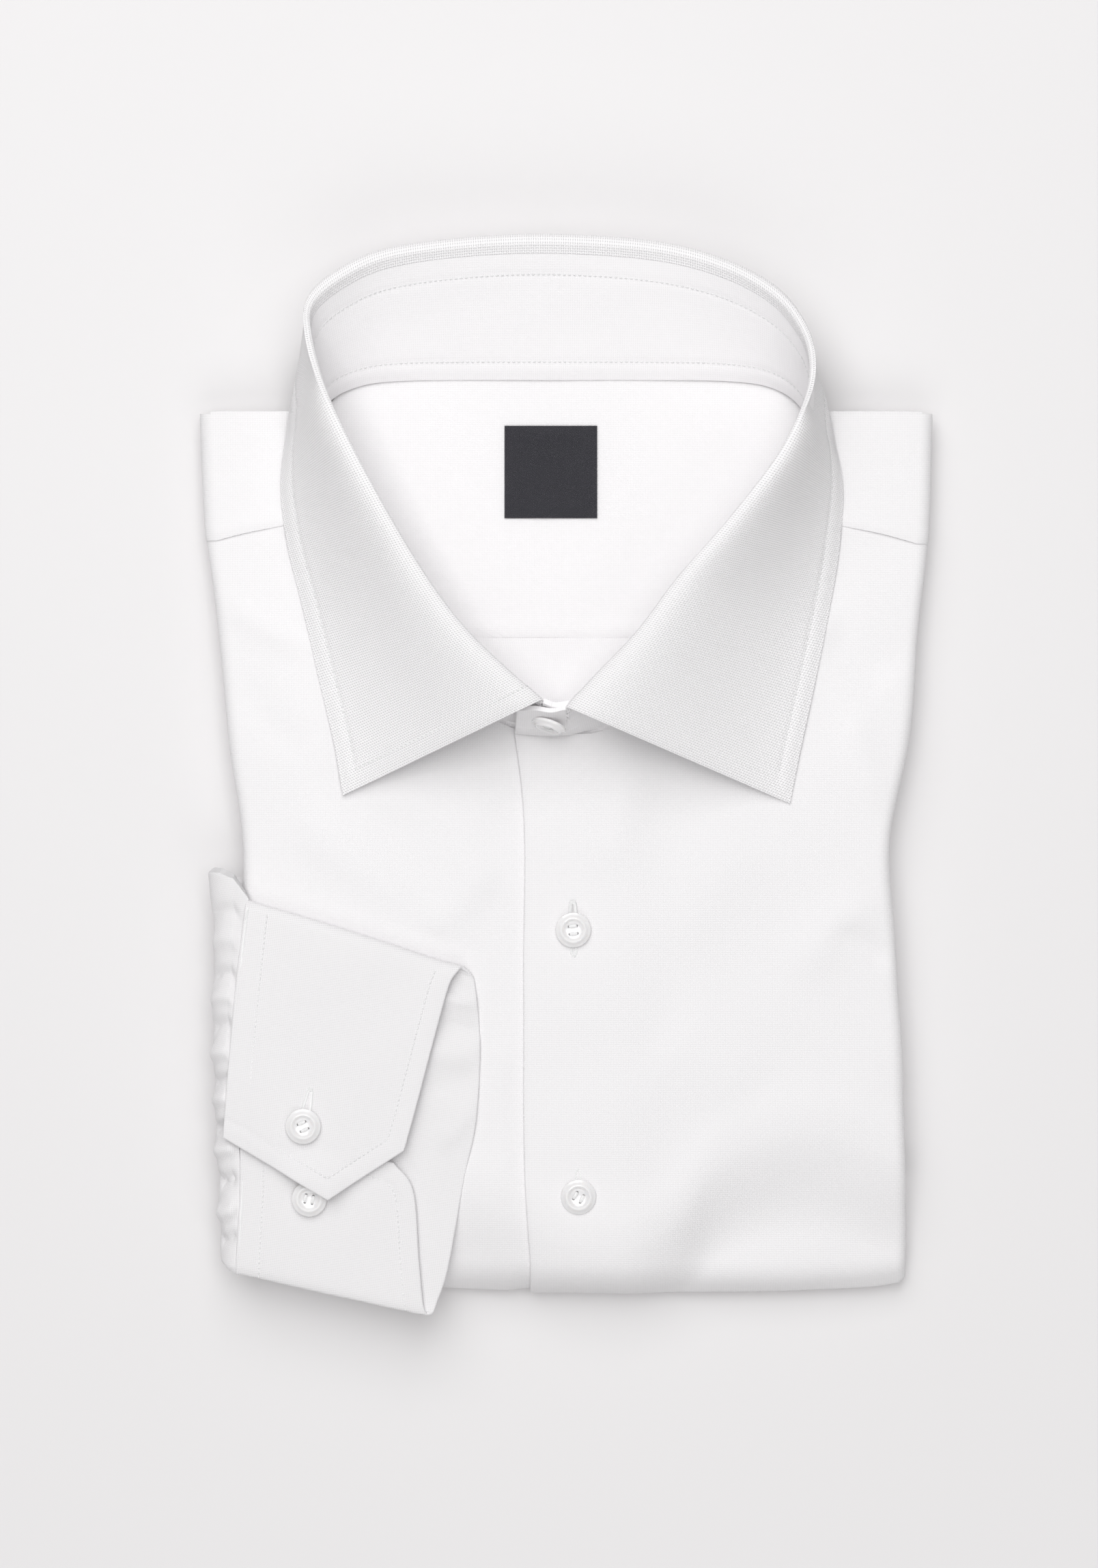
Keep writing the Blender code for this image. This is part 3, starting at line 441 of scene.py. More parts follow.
def cloth(node, points, thickness, finish, uv=None, keep=None, closed=False, relief=None,
          name=None):
    """Closed thin wall of cloth on a grid of points of its middle surface, for a solid's node."""
    rows, columns = points.shape[:2]
    if uv is None:
        across = lengths(points, 1)
        uv = points_of(across - across.mean(axis=1, keepdims=True), lengths(points))
    normals = grid_normals(points, closed)
    if relief is not None:
        points = points + normals * relief[..., None]
        normals = grid_normals(points, closed)
    out = normals * (np.broadcast_to(np.asarray(thickness, float), (rows, columns))[..., None] / 2)
    i, j = np.meshgrid(np.arange(rows - 1), np.arange(columns if closed else columns - 1),
                       indexing="ij")
    if keep is not None:
        i, j = i[keep], j[keep]
    i, j = i.ravel(), j.ravel()
    right = (j + 1) % columns
    cells = points_of(i * columns + j, (i + 1) * columns + j, (i + 1) * columns + right,
                      i * columns + right)
    count = rows * columns
    starts, ends = cells.ravel(), np.roll(cells, -1, axis=1).ravel()
    rim = ~np.isin(starts * count + ends, ends * count + starts)
    a, b = starts[rim], ends[rim]
    faces = join(cells, cells[:, ::-1] + count, points_of(b, a, a + count, b + count))
    both = join((points + out).reshape(-1, 3), (points - out).reshape(-1, 3))
    places = np.tile(uv.reshape(-1, 2), (2, 1))
    return dress(mesh_piece(name or node + "_cloth", both, faces, finish, places), node)


def mesh_piece(name, vertices, faces, finish, places=None):
    """Object from vertices in millimetres and quads, with the cloth's own places as its UVs."""
    used = np.unique(faces)
    place = np.full(len(vertices), -1)
    place[used] = np.arange(len(used))
    faces = place[faces]
    mesh = bpy.data.meshes.new(name)
    mesh.vertices.add(len(used))
    mesh.vertices.foreach_set("co", (vertices[used] * MM).ravel())
    mesh.loops.add(faces.size)
    mesh.loops.foreach_set("vertex_index", faces.ravel())
    mesh.polygons.add(len(faces))
    mesh.polygons.foreach_set("loop_start", np.arange(0, faces.size, faces.shape[1]))
    mesh.polygons.foreach_set("use_smooth", np.full(len(faces), True))
    if places is not None:
        layer = mesh.uv_layers.new(name="cloth")
        layer.data.foreach_set("uv", (places[used][faces.ravel()] * MM).ravel())
    mesh.update()
    mesh.validate()
    mesh.set_sharp_from_angle(angle=math.radians(CLOTH_SHARP))
    mesh.materials.append(finish)
    return link_object(name, mesh)


def link_object(name, data):
    made = bpy.data.objects.new(name, data)
    bpy.context.scene.collection.objects.link(made)
    return made


def at_places(grid, i, j):
    """Values of a grid at fractional row and column places."""
    i = np.clip(i, 0, grid.shape[0] - 1.001)
    j = np.clip(j, 0, grid.shape[1] - 1.001)
    low_i, low_j = i.astype(int), j.astype(int)
    s, t = (i - low_i)[..., None], (j - low_j)[..., None]
    return ((grid[low_i, low_j] * (1 - t) + grid[low_i, low_j + 1] * t) * (1 - s)
            + (grid[low_i + 1, low_j] * (1 - t) + grid[low_i + 1, low_j + 1] * t) * s)


def rounded(grids, edges):
    """Points, thickness and relief, with lines added so that the named edges are round folds."""
    turns = np.radians(ROUND_STEPS)
    for edge in edges:
        order = slice(None, None, -1 if edge.startswith("last") else 1)
        column = edge.endswith("column")
        points, thick, relief = ((grid.swapaxes(0, 1) if column else grid)[order]
                                 for grid in grids)
        inward = unit(points[1] - points[0]) * (thick[0][:, None] / 2)
        lines = np.stack([points[0] + inward * (1 - math.cos(turn)) for turn in turns])
        grids = (join(lines, points[1:]),
                 join(np.stack([thick[0] * math.sin(turn) for turn in turns]), thick[1:]),
                 join(np.repeat(relief[:1], len(turns), axis=0), relief[1:]))
        grids = [grid[order].swapaxes(0, 1) if column else grid[order] for grid in grids]
    return grids


def tube_faces(rings, sides, first=0):
    """Faces between rings of points, each with a number of sides, from the first point on."""
    ring = np.arange(sides)
    low = first + np.arange(rings - 1)[:, None] * sides
    after = low + (ring + 1) % sides
    return points_of(low + ring, after, after + sides, low + ring + sides).reshape(-1, 4)


class Threads:
    """Short lengths of thread gathered into one mesh."""

    def __init__(self):
        self.vertices = []
        self.faces = []
        self.count = 0

    def add(self, path, radius, normal, flat=0.5, sides=8):
        """One thread along a path of points, round-ended, flattened towards the cloth."""
        path = np.asarray(path, float)
        tangents = unit(np.gradient(path, axis=0))
        up = unit(np.broadcast_to(normal, path.shape) + tangents * 1e-6)
        side = unit(np.cross(tangents, up))
        up = unit(np.cross(side, tangents))
        taper = np.sqrt(np.clip(1 - np.abs(2 * spread(0, 1, len(path)) - 1) ** 6, 0.05, 1))
        turns = np.arange(sides) * 2 * math.pi / sides
        rings = (path[:, None] + radius * taper[:, None, None]
                 * (np.cos(turns)[None, :, None] * side[:, None]
                    + flat * np.sin(turns)[None, :, None] * up[:, None]))
        self.vertices += [rings.reshape(-1, 3), path[[0, -1]]]
        self.faces.append(tube_faces(len(path), sides, self.count))
        pairs = np.arange(sides)[::2]
        nexts, after = (pairs + 1) % sides, (pairs + 2) % sides
        top = self.count + (len(path) - 1) * sides
        start = top + sides
        self.faces += [points_of(start, self.count + after, self.count + nexts, self.count + pairs),
                       points_of(start + 1, top + pairs, top + nexts, top + after)]
        self.count += len(path) * sides + 2

    def stitch(self, points, normals, length=1.15, pitch=1.65, radius=0.19):
        """A row of stitches along a line on the cloth, each one arching into it at its ends."""
        way = lengths(points)
        count = max(int(way[-1] / pitch), 1)
        index = np.arange(len(points))
        arch = np.array(STITCH_ARCH)[:, None] + radius * 0.5
        for place in np.interp((np.arange(count) + 0.5) * way[-1] / count, way, index):
            middle = np.interp(place, index, way)
            spots = np.interp(middle + spread(-0.5, 0.5, 5) * length, way, index)
            line, up = (np.stack([np.interp(spots, index, values[:, axis]) for axis in range(3)], 1)
                        for values in (points, normals))
            up = unit(up)
            self.add(line + up * arch, radius, up)

    def build(self, name, finish):
        faces = np.concatenate(self.faces)[:, ::-1]
        return mesh_piece(name, np.concatenate(self.vertices), faces, finish)


# Materials
def new_node(tree, kind, **inputs):
    """Shader node with values in its inputs, which are named here with _ for each space."""
    node = tree.nodes.new("ShaderNode" + kind)
    fill(node, inputs)
    return node


def fill(node, inputs):
    for name, value in inputs.items():
        node.inputs[name.replace("_", " ")].default_value = value


def new_finish(name, **inputs):
    finish = bpy.data.materials.new(name)
    finish.use_nodes = True
    shader = finish.node_tree.nodes["Principled BSDF"]
    fill(shader, inputs)
    return finish, finish.node_tree, shader


def calc(tree, operation, *values):
    """Math node on numbers or sockets; gives its output socket."""
    node = tree.nodes.new("ShaderNodeMath")
    node.operation = operation
    for socket, value in zip(node.inputs, values):
        if isinstance(value, (int, float)):
            socket.default_value = value
        else:
            tree.links.new(value, socket)
    return node.outputs[0]


def times(tree, value, factor):
    return calc(tree, "MULTIPLY", value, factor)


def total(tree, first, first_share, second, second_share):
    """Sum of two values, each of them times its share."""
    return calc(tree, "ADD", times(tree, first, first_share), times(tree, second, second_share))


def wave(tree, value, turn, humps=True):
    """Sine of a value times a turn, whose troughs may be turned up into humps."""
    sine = calc(tree, "SINE", times(tree, value, turn))
    return calc(tree, "ABSOLUTE", sine) if humps else sine


def bump(tree, shader, height, distance, strength=1.0):
    """Relief from a height, as deep as a distance in millimetres."""
    relief = new_node(tree, "Bump", Distance=distance * MM, Strength=strength)
    tree.links.new(height, relief.inputs["Height"])
    tree.links.new(relief.outputs[0], shader.inputs["Normal"])


def tint(tree, shader, share, low, high, places=(0.0, 1.0)):
    """Base colour from a low one to a high one, by a share that runs between two places."""
    ramp = new_node(tree, "ValToRGB")
    for element, place, colour in zip(ramp.color_ramp.elements, places, (low, high)):
        element.position = place
        element.color = (*colour, 1)
    tree.links.new(share, ramp.inputs["Fac"])
    tree.links.new(ramp.outputs["Color"], shader.inputs["Base Color"])


def cloth_places(tree):
    """Place on the flat cloth, across and along."""
    where = new_node(tree, "UVMap")
    where.uv_map = "cloth"
    split = new_node(tree, "SeparateXYZ")
    tree.links.new(where.outputs[0], split.inputs[0])
    return split.outputs[0], split.outputs[1]


def weave(tree, pitch):
    """Height of a basket weave on the flat cloth, and a field that is 0 in its gaps, where shade is
    painted.
    """
    across, along = cloth_places(tree)
    warp = calc(tree, "DIVIDE", across, pitch * MM)
    weft = calc(tree, "DIVIDE", along, WEFT_PITCH * pitch * MM)
    warp_round, weft_round = wave(tree, warp, 2 * math.pi), wave(tree, weft, 2 * math.pi)
    warp_long, weft_long = wave(tree, warp, math.pi), wave(tree, weft, math.pi)
    over_warp = total(tree, warp_round, 0.45, weft_long, 0.9)
    over_weft = total(tree, weft_round, 0.45, warp_long, 0.9)
    cell = calc(tree, "ADD", calc(tree, "FLOOR", warp), calc(tree, "FLOOR", weft))
    odd = calc(tree, "ABSOLUTE", calc(tree, "FRACT", times(tree, cell, 0.5)))
    odd = calc(tree, "GREATER_THAN", odd, 0.25)
    height = total(tree, over_warp, odd, over_weft, calc(tree, "SUBTRACT", 1.0, odd))
    return height, total(tree, weft_long, 0.6, warp_long, 0.4)


def cotton_finish(name, pitch, depth, shade, tone_and_painted_light):
    """White shirting: basket weave in relief, with painted shade in the gaps between the yarns, and
    a tone that paints light and shade on each piece.
    """
    finish, tree, shader = new_finish(name, Roughness=0.78, Sheen_Weight=0.18, Sheen_Roughness=0.4)
    height, gap_shade_mask = weave(tree, pitch)
    cloudy = new_node(tree, "TexNoise", Scale=900.0, Detail=2.0)
    lumpy = calc(tree, "ADD", height, times(tree, cloudy.outputs["Fac"], 0.5))
    bump(tree, shader, lumpy, depth, 0.8)
    # Painted shade in the weave gaps; the tone paints light on some pieces and shade on others
    low, high = ([share * c for c in COTTON_COLOUR] for share in (shade * tone_and_painted_light, tone_and_painted_light))
    tint(tree, shader, gap_shade_mask, low, high, (0.08, 0.55))
    return finish


def label_finish():
    """Dark woven satin: fine slanting floats, darker in their troughs and lighter on their crests,
    as painted shade and highlight.
    """
    finish, tree, shader = new_finish("dark_label", Roughness=0.55, Sheen_Weight=0.25,
                                      Sheen_Roughness=0.5)
    across, along = cloth_places(tree)
    slant = calc(tree, "ADD", across, times(tree, along, 0.45))
    height = calc(tree, "ADD", wave(tree, along, 2 * math.pi / (LABEL_RIB * MM), False),
                  wave(tree, slant, 2 * math.pi / (LABEL_PICK * MM), False))
    bump(tree, shader, height, 0.05)
    # Colour follows the floats' height: painted shade in the troughs, painted highlight on the
    # crests
    tint(tree, shader, calc(tree, "ADD", times(tree, height, 0.25), 0.5), *LABEL_COLOURS_WITH_PAINTED_SHADE)
    return finish


def thread_finish(name, tone_and_painted_light):
    """Sewing thread: twisted, so its bump runs round it in fine slanting bands; a lower tone makes
    a copy with painted shade.
    """
    finish, tree, shader = new_finish(name, Roughness=0.6, Sheen_Weight=0.6, Sheen_Roughness=0.35,
                                      Base_Color=(tone_and_painted_light, tone_and_painted_light, tone_and_painted_light, 1))
    twist = new_node(tree, "TexWave", Scale=1800.0)
    twist.wave_type = "BANDS"
    twist.bands_direction = "DIAGONAL"
    bump(tree, shader, twist.outputs["Fac"], 0.02)
    return finish


def pearl_finish():
    """Pearly white resin: cloudy, light passing through it, and glossy."""
    finish, tree, shader = new_finish("pearl_button", Roughness=0.12, Coat_Weight=0.8,
                                      Coat_Roughness=0.06, IOR=1.5, Subsurface_Weight=0.55,
                                      Subsurface_Scale=2.2 * MM,
                                      Subsurface_Radius=(1.0, 0.95, 0.9))
    cloudy = new_node(tree, "TexNoise", Scale=260.0, Detail=4.0, Distortion=1.4)
    tint(tree, shader, cloudy.outputs["Fac"], *PEARL_COLOURS, (0.3, 0.7))
    return finish


# Shapes of the garment
def around_hem(x, y, lift, depth):
    """Points of a layer that runs to the hem end, round it and back under, by their length in Y."""
    start = fold_start(x)
    top = cloth_top(x, np.maximum(y, start)) + lift
    middle = top / 2
    radius = middle - depth
    turn = (start - y) / middle
    bent = np.clip(turn, 0, math.pi)
    past = turn > math.pi
    y_there = np.where(turn <= 0, y, start - radius * np.sin(bent))
    y_there = np.where(past, start + (start - y) - math.pi * middle, y_there)
    z = np.where(turn <= 0, top - depth, middle + radius * np.cos(bent))
    return points_of(x, y_there, np.where(past, depth, z))


def curl_lines(count=12):
    """Reach past the rim and added depth of the lines of a side curl, with its tuck inwards."""
    turns = spread(0, math.pi, count + 1)[1:]
    return (join(CURL_RADIUS * np.sin(turns), -CURL_TUCK * spread(0, 1, 5)[1:]),
            join(CURL_RADIUS * (1 - np.cos(turns)), np.full(4, 2 * CURL_RADIUS)))


def curl_way(reach, drop):
    """Length of cloth from the rim round a side curl and along its tuck."""
    round_way = CURL_RADIUS * np.arccos(np.clip(1 - drop / CURL_RADIUS, -1, 1))
    return round_way + np.maximum(-reach, 0) * (drop > 1.9 * CURL_RADIUS)


def front_grid(side):
    """Middle surface of one front, its thickness, its lengths along Y and its flat places."""
    offsets = spread(0, RAMP_END, 36) if side > 0 else spread(UNDER_PANEL, -UNDER_EASE, 36)
    shares = spread(0, 1, 56)[1:]
    reach, drop = curl_lines()
    level = np.zeros(len(offsets) + len(shares))
    offset = join(offsets, np.full(len(shares) + len(reach), offsets[-1]))[:, None]
    share = join(np.zeros(len(offsets)), shares, np.ones(len(reach)))[:, None]
    reach, drop = join(level, reach)[:, None], join(level, drop)[:, None]

    def across(y):
        near = placket_x(y) + offset
        return near + (rim_x(side, y) - near) * share

    top = np.full((len(offset), 1), 40.0)
    for _ in range(8):
        top = front_top(across(top)) - GAP / 2
    turn_x = across(np.full_like(top, HEM_TURN_Y))
    turn_y = fold_start(turn_x)
    turned = math.pi * cloth_top(turn_x, HEM_TURN_Y) / 2 + UNDER_TUCK
    y = join(top + (turn_y - top) * spread(0, 1, 150), turn_y - turned * spread(0, 1, 37)[1:],
             axis=1)
    held = np.maximum(y, HEM_TURN_Y)
    x = across(held)
    past = x - placket_x(held)
    if side > 0:
        raised = 1 - ease(RAMP_START, RAMP_END, past)
        lift = PLACKET_LIFT * raised
        thick = SHIRTING + (PLACKET_CLOTH - SHIRTING) * raised
        depth = thick / 2
    else:
        lift = PLACKET_LIFT * ease(-UNDER_EASE, -1, past)
        thick = np.full_like(x, SHIRTING)
        depth = SHIRTING / 2 + lift
    squash = 1 - (1 - UNDER_SQUASH) * ease(0, turned - UNDER_TUCK, turn_y - y)
    grid = around_hem(x, y, lift, depth + drop * squash)
    grid[..., 0] += side * reach
    return grid, thick, y, points_of(x + side * curl_way(reach, drop), y)


def front(name, side, finish):
    grid, thick, y, uv = front_grid(side)
    x, z = grid[..., 0], grid[..., 2]
    crest = smooth(HEM_CREST, x, "y")
    slope = ease(0, HEM_SLOPE_RUN, crest - y) - 0.12 * hump(crest + 6 - y, 9)
    z -= HEM_SLOPE * slope * ease(3.0, 17.0, z)
    relief = -side * creases(x, y, FRONT_CREASES) * (z > TURNED_Z)
    relief += -side * soft_waves(x, y, SLACK["front"]) * ease(4.0, 10.0, z)
    if side < 0:
        covered = ease(0.0, 8.0, CUFF_TOP[0] + CUFF_TOP[1] * x - y)
        relief *= 1 - covered * ease(0.0, 8.0, CUFF_TOP[2] - x)
    else:
        more = join(uv, relief[..., None], axis=-1)
        grid, thick, more = rounded((grid, thick, more), ("first_row",))
        uv, relief = more[..., :2], more[..., 2]
    return cloth(name, grid, thick, finish, uv=uv, relief=relief)


def back(finish):
    """The back below the yoke, with the crease of its middle line."""
    share = spread(-1, 1, 90)[:, None]
    y = spread(BACK_SEAM_Y, BACK_END_Y, 60)
    side = np.where(share < 0, -1, 1)
    x = np.abs(share) * (rim_x(side, y) - side * CURL_TUCK)
    y = y + 0 * x
    crease = 0.3 * hump(x - BACK_CREASE_X, 1.2) * ease(1.5, 6.0, BACK_SEAM_Y - y)
    return cloth("back", points_of(x, y, cloth_top(x, y) - BACK_DEPTH), SHIRTING, finish,
                 relief=crease + soft_waves(x, y, SLACK["back"]))


def seam_lap(way, run):
    """Thickness of the yoke's edge, by the way from its seam, and how far it lies raised there."""
    thin = SHIRTING * (0.25 + 0.75 * ease(0, 1.6, way))
    return thin, (YOKE_RAISE + (thin + SHIRTING) / 2) * (1 - ease(2.0, run, way))


def yoke(finish):
    """Shoulder strips lapped over the fronts, the top fold and the back yoke inside the neck."""
    reach, drop = curl_lines()
    left_rim, right_rim = (abs(rim_x(side, TOP_FOLD_Y)) for side in (-1, 1))
    columns = [(-left_rim, -1, r, d) for r, d in zip(reach[::-1], drop[::-1])]
    columns += [(-x, -1, 0, 0) for x in spread(YOKE_NECK_X, left_rim, 26)[::-1]]
    columns += [(x, 1, 0, 0) for x in spread(-YOKE_NECK_X, YOKE_NECK_X, 92)[1:-1]]
    columns += [(x, 1, 0, 0) for x in spread(YOKE_NECK_X, right_rim, 26)]
    columns += [(right_rim, 1, r, d) for r, d in zip(reach, drop)]
    x, side, reach, drop = (np.array(values, float)[:, None] for values in zip(*columns))
    small = (BACK_DEPTH - FRONT_DEPTH) / 2
    over_shoulder = np.abs(x) >= YOKE_NECK_X - 0.01
    widest = np.abs(rim_x(side, TOP_FOLD_Y)) - YOKE_NECK_X

    def across(y):
        past = (np.abs(x) - YOKE_NECK_X) / widest * (np.abs(rim_x(side, y)) - YOKE_NECK_X)
        return np.where(over_shoulder, side * (YOKE_NECK_X + past), x)

    seam = np.full_like(x, 80.0)
    for _ in range(8):
        seam = front_top(across(seam)) - YOKE_LAP
    fold = TOP_FOLD_Y - small
    y = seam + (fold - seam) * spread(0, 1, 26)
    strip_x = across(y)
    thin, raised = seam_lap(y - seam, 8.0)
    strip = points_of(strip_x + side * reach, y,
                      cloth_top(strip_x, y) - SHIRTING / 2 - drop + raised)
    behind = YOKE_UNDER_BAND * (1 - ease(70.0, YOKE_NECK_X, np.abs(x)))
    edge = np.where(over_shoulder, fold, smooth(BACK_NECK, np.abs(x), "y") + behind)
    turns = spread(0, math.pi, 8)[1:]
    arc = points_of(x, edge + small * np.sin(turns), cloth_top(x, TOP_FOLD_Y) - SHIRTING / 2
                    - (BACK_DEPTH - SHIRTING / 2) * (1 - np.cos(turns)) / 2)
    y_back = edge + (BACK_SEAM_Y - YOKE_LAP - edge) * spread(0, 1, 50)[1:]
    back_x = across(y_back)
    thin_back, raised = seam_lap(y_back - BACK_SEAM_Y + YOKE_LAP, 7.0)
    lower = points_of(back_x, y_back, cloth_top(back_x, y_back) - BACK_DEPTH + raised)
    grid = join(strip, arc, lower, axis=1)
    i, j = np.meshgrid(np.arange(grid.shape[0] - 1), np.arange(grid.shape[1] - 1), indexing="ij")
    curl = len(reach[(reach != 0) | (drop != 0)]) // 2
    in_curl = (i < curl) | (i >= grid.shape[0] - 1 - curl)
    in_neck = ~over_shoulder[:-1] | ~over_shoulder[1:]
    keep = np.where(in_curl, j < strip.shape[1] - 1,
                    np.where(in_neck, j >= strip.shape[1] + arc.shape[1] - 1, True))
    relief = -soft_waves(grid[..., 0], grid[..., 1], SLACK["yoke"]) * (grid[..., 2] > TURNED_Z)
    thick = join(thin, np.full(arc.shape[:2], SHIRTING), thin_back, axis=1)
    down = join(y, 2 * fold - arc[..., 1], 2 * fold - y_back, axis=1)
    uv = points_of(grid[..., 0] + side * curl_way(reach, drop), down)
    return cloth("yoke", grid, thick, finish, uv=uv, keep=keep, relief=relief)


# Collar
def collar_curve(left, right, at):
    """Value at stations from the collar's left end round the neck to its right end."""
    return curve(spread(0, 1, 2 * COLLAR_ROWS - 1), join(COLLAR[left], COLLAR[right][-2::-1]), at)


def collar_line(what, at):
    return (collar_curve("l_%s_%s" % (what, axis), "r_%s_%s" % (what, axis), at) for axis in "xy")


def edge_height(x, y):
    """Height of the leaf's outer edge: on the fronts and shoulders, then down to the floor."""
    resting = cloth_top(x, np.minimum(y, 100.0)) + LEAF_EDGE_CLOTH / 2 + LEAF_LIFT
    behind = straight(LEAF_EDGE_HEIGHTS, y, "z")
    return resting + (behind - resting) * ease(104.0, 118.0, y)


def foot_height(x, y, at):
    """Height of the band's lower edge: on the fronts' neckline, then behind the yoke's."""
    lift = np.where(at > 0.5, PLACKET_LIFT * (1 - ease(24.0, 40.0, x)), 0.0)
    on_front = cloth_top(x, y) + lift + BAND_CLOTH / 2
    behind = straight(BAND_FOOT_HEIGHTS, y, "z")
    return on_front + (behind - on_front) * ease(88.0, 104.0, y)


def collar_section(at):
    """Edge, foot, directions and roll of the collar at its stations."""
    fold = points_of(*collar_line("fold", at), collar_curve("fold_z", "fold_z", at))
    x, y = collar_line("edge", at)
    edge = points_of(x, y, edge_height(x, y))
    x, y = collar_line("seam", at)
    foot = points_of(x, y, foot_height(x, y, at))
    to_edge, to_foot = unit(edge - fold), unit(foot - fold)
    inward, across = unit(to_edge + to_foot), unit(to_edge - to_foot)
    centre = fold + inward * ROLL_RADIUS
    stub_top = centre - across * ROLL_RADIUS
    seam = stub_top + unit(foot - stub_top) * ROLL_STUB
    return edge, foot, inward, across, centre, stub_top, seam


def near_ends(count):
    """Stations from 0 to 1, closer together near both ends."""
    way = spread(-1, 1, count)
    return 0.5 + 0.5 * (0.72 * way + 0.28 * way ** 5)


def leaf_grid():
    """Leaf: rows are stations round the neck, columns run from stub over the roll to the edge."""
    edge, _, inward, across, centre, stub_top, seam = collar_section(near_ends(LEAF_STATIONS))
    lines = [seam + unit(stub_top - seam) * COLLAR_DITCH]
    for turn in spread(-math.pi / 2, 0, 9):
        lines.append(centre + ROLL_RADIUS * (math.sin(turn) * across - math.cos(turn) * inward))
    start = lines[-1]
    fall = edge - start
    length = np.linalg.norm(fall, axis=1, keepdims=True)
    resting = unit(fall * np.array((1.0, 1.0, LEAF_REST)))
    sideways = unit(points_of(-fall[:, 1], fall[:, 0], 0.0))
    straight_out = unit(across - sideways * np.sum(across * sideways, axis=1, keepdims=True))
    leave = start + straight_out * length * LEAF_ROLL
    settle = edge - resting * length * LEAF_SETTLE
    for t in join(spread(0, 0.2, 14)[1:], spread(0.2, 0.8, 26)[1:], spread(0.8, 1, 26)[1:]):
        lines.append(start * (1 - t) ** 3 + leave * 3 * t * (1 - t) ** 2
                     + settle * 3 * t * t * (1 - t) + edge * t ** 3)
    return np.stack(lines, axis=1)


def ring_places(grid, middle):
    """Flat places on a ring of cloth: lengths across it, and round it at its middle column."""
    return points_of(lengths(grid, 1), lengths(grid[:, middle])[:, None])


def to_line(points, line, reach=14.0):
    """Distance of each point from a line of points, where it is less than a reach."""
    flat = points.reshape(-1, 3)
    distance = np.full(len(flat), FAR)
    low, high = line.min(axis=0) - reach, line.max(axis=0) + reach
    near = np.flatnonzero(np.all((flat > low) & (flat < high), axis=1))
    start, along = line[:-1], np.diff(line, axis=0)
    for part in np.array_split(near, max(len(near) // 800, 1)):
        spots = flat[part, None]
        share = np.sum((spots - start) * along, axis=-1) / np.sum(along ** 2, axis=-1)
        share = np.clip(share, 0, 1)[..., None]
        distance[part] = np.linalg.norm(spots - start - share * along, axis=-1).min(axis=1)
    return distance.reshape(points.shape[:-1])


def level_line(field, value, axis, allowed):
    """Fractional places where a field over a grid first passes a value, along rows or columns."""
    if axis == 0:
        return level_line(field.T, value, 1, allowed.T)[::-1]
    over = (field[:, :-1] - value) * (field[:, 1:] - value) <= 0
    over &= allowed[:, :-1]
    rows = np.flatnonzero(over.any(axis=1))
    first = over[rows].argmax(axis=1)
    low, high = field[rows, first], field[rows, first + 1]
    return rows.astype(float), first + (value - low) / np.where(high == low, 1, high - low)


def sew(threads, grid, height, field, value, axis=1, allowed=None, face=1.0):
    """Row of stitches on one face of a cloth, where a field over its grid passes a value."""
    if allowed is None:
        allowed = np.full(field.shape, True)
    i, j = level_line(field, value, axis, allowed)
    if len(i) >= 4:
        normals = at_places(grid_normals(grid), i, j) * face
        threads.stitch(at_places(grid, i, j) + normals * height, normals)


def seam_groove(distance, depth):
    return -depth * hump(distance, GROOVE_WIDTH)


def edge_fullness(edge, height):
    return height * hump(edge - EDGE_FULLNESS[0], EDGE_FULLNESS[1])


def leaf(finish, threads):
    """Leaf with its topstitching; the cloth is fuller between the stitches and the edge."""
    grid = leaf_grid()
    outside, first, last = (to_line(grid, line) for line in (grid[:, -1], grid[0], grid[-1]))
    end = np.minimum(first, last)
    edge = np.minimum(outside, end)
    outer = outside <= end
    for field, axis, allowed in ((outside, 1, outer), (first, 0, ~outer & (first < last)),
                                 (last, 0, ~outer & (last < first))):
        sew(threads, grid, LEAF_CLOTH / 2 - SINKS["leaf"], field, TOPSTITCH_IN, axis, allowed)
    relief = seam_groove(edge - TOPSTITCH_IN, GROOVES["leaf"])
    relief += edge_fullness(edge, 0.16)
    relief += soft_waves(grid[..., 0] + 2 * grid[..., 2], grid[..., 1], SLACK["leaf"])
    thick = LEAF_EDGE_CLOTH + (LEAF_CLOTH - LEAF_EDGE_CLOTH) * ease(0, 4.0, edge)
    grid, thick, relief = rounded((grid, thick, relief), ("last_column", "first_row", "last_row"))
    return cloth("collar_leaf", grid, thick, finish, uv=ring_places(grid, 30), relief=relief)


def band_grid():
    """Band: rows from its left end round the back to its right end, columns from foot to fold."""
    _, foot, _, _, _, _, seam = collar_section(near_ends(LEAF_STATIONS))
    under = int(np.sum(BAND_ENDS["side"] == 0))
    feet, tops = (np.stack([BAND_ENDS[what + axis] for axis in "xyz"], axis=1)
                  for what in ("foot_", "top_"))
    over = len(foot) + under - 1
    feet, tops = join(feet[:under], foot, feet[under:]), join(tops[:under], seam, tops[under:])
    rows = join(spread(0, under, BAND_END_ROWS + 1)[:-1], spread(under, over, len(foot)),
                spread(over, len(feet) - 1, BAND_END_ROWS + 1)[1:])
    keys = np.arange(len(feet))
    feet, tops = (points_of(*(curve(keys, column, rows) for column in line.T))
                  for line in (feet, tops))
    shares = join(spread(0, 0.5, 22)[:-1], spread(0.5, 1, 20))
    return feet[:, None] + (tops - feet)[:, None] * shares[None, :, None]


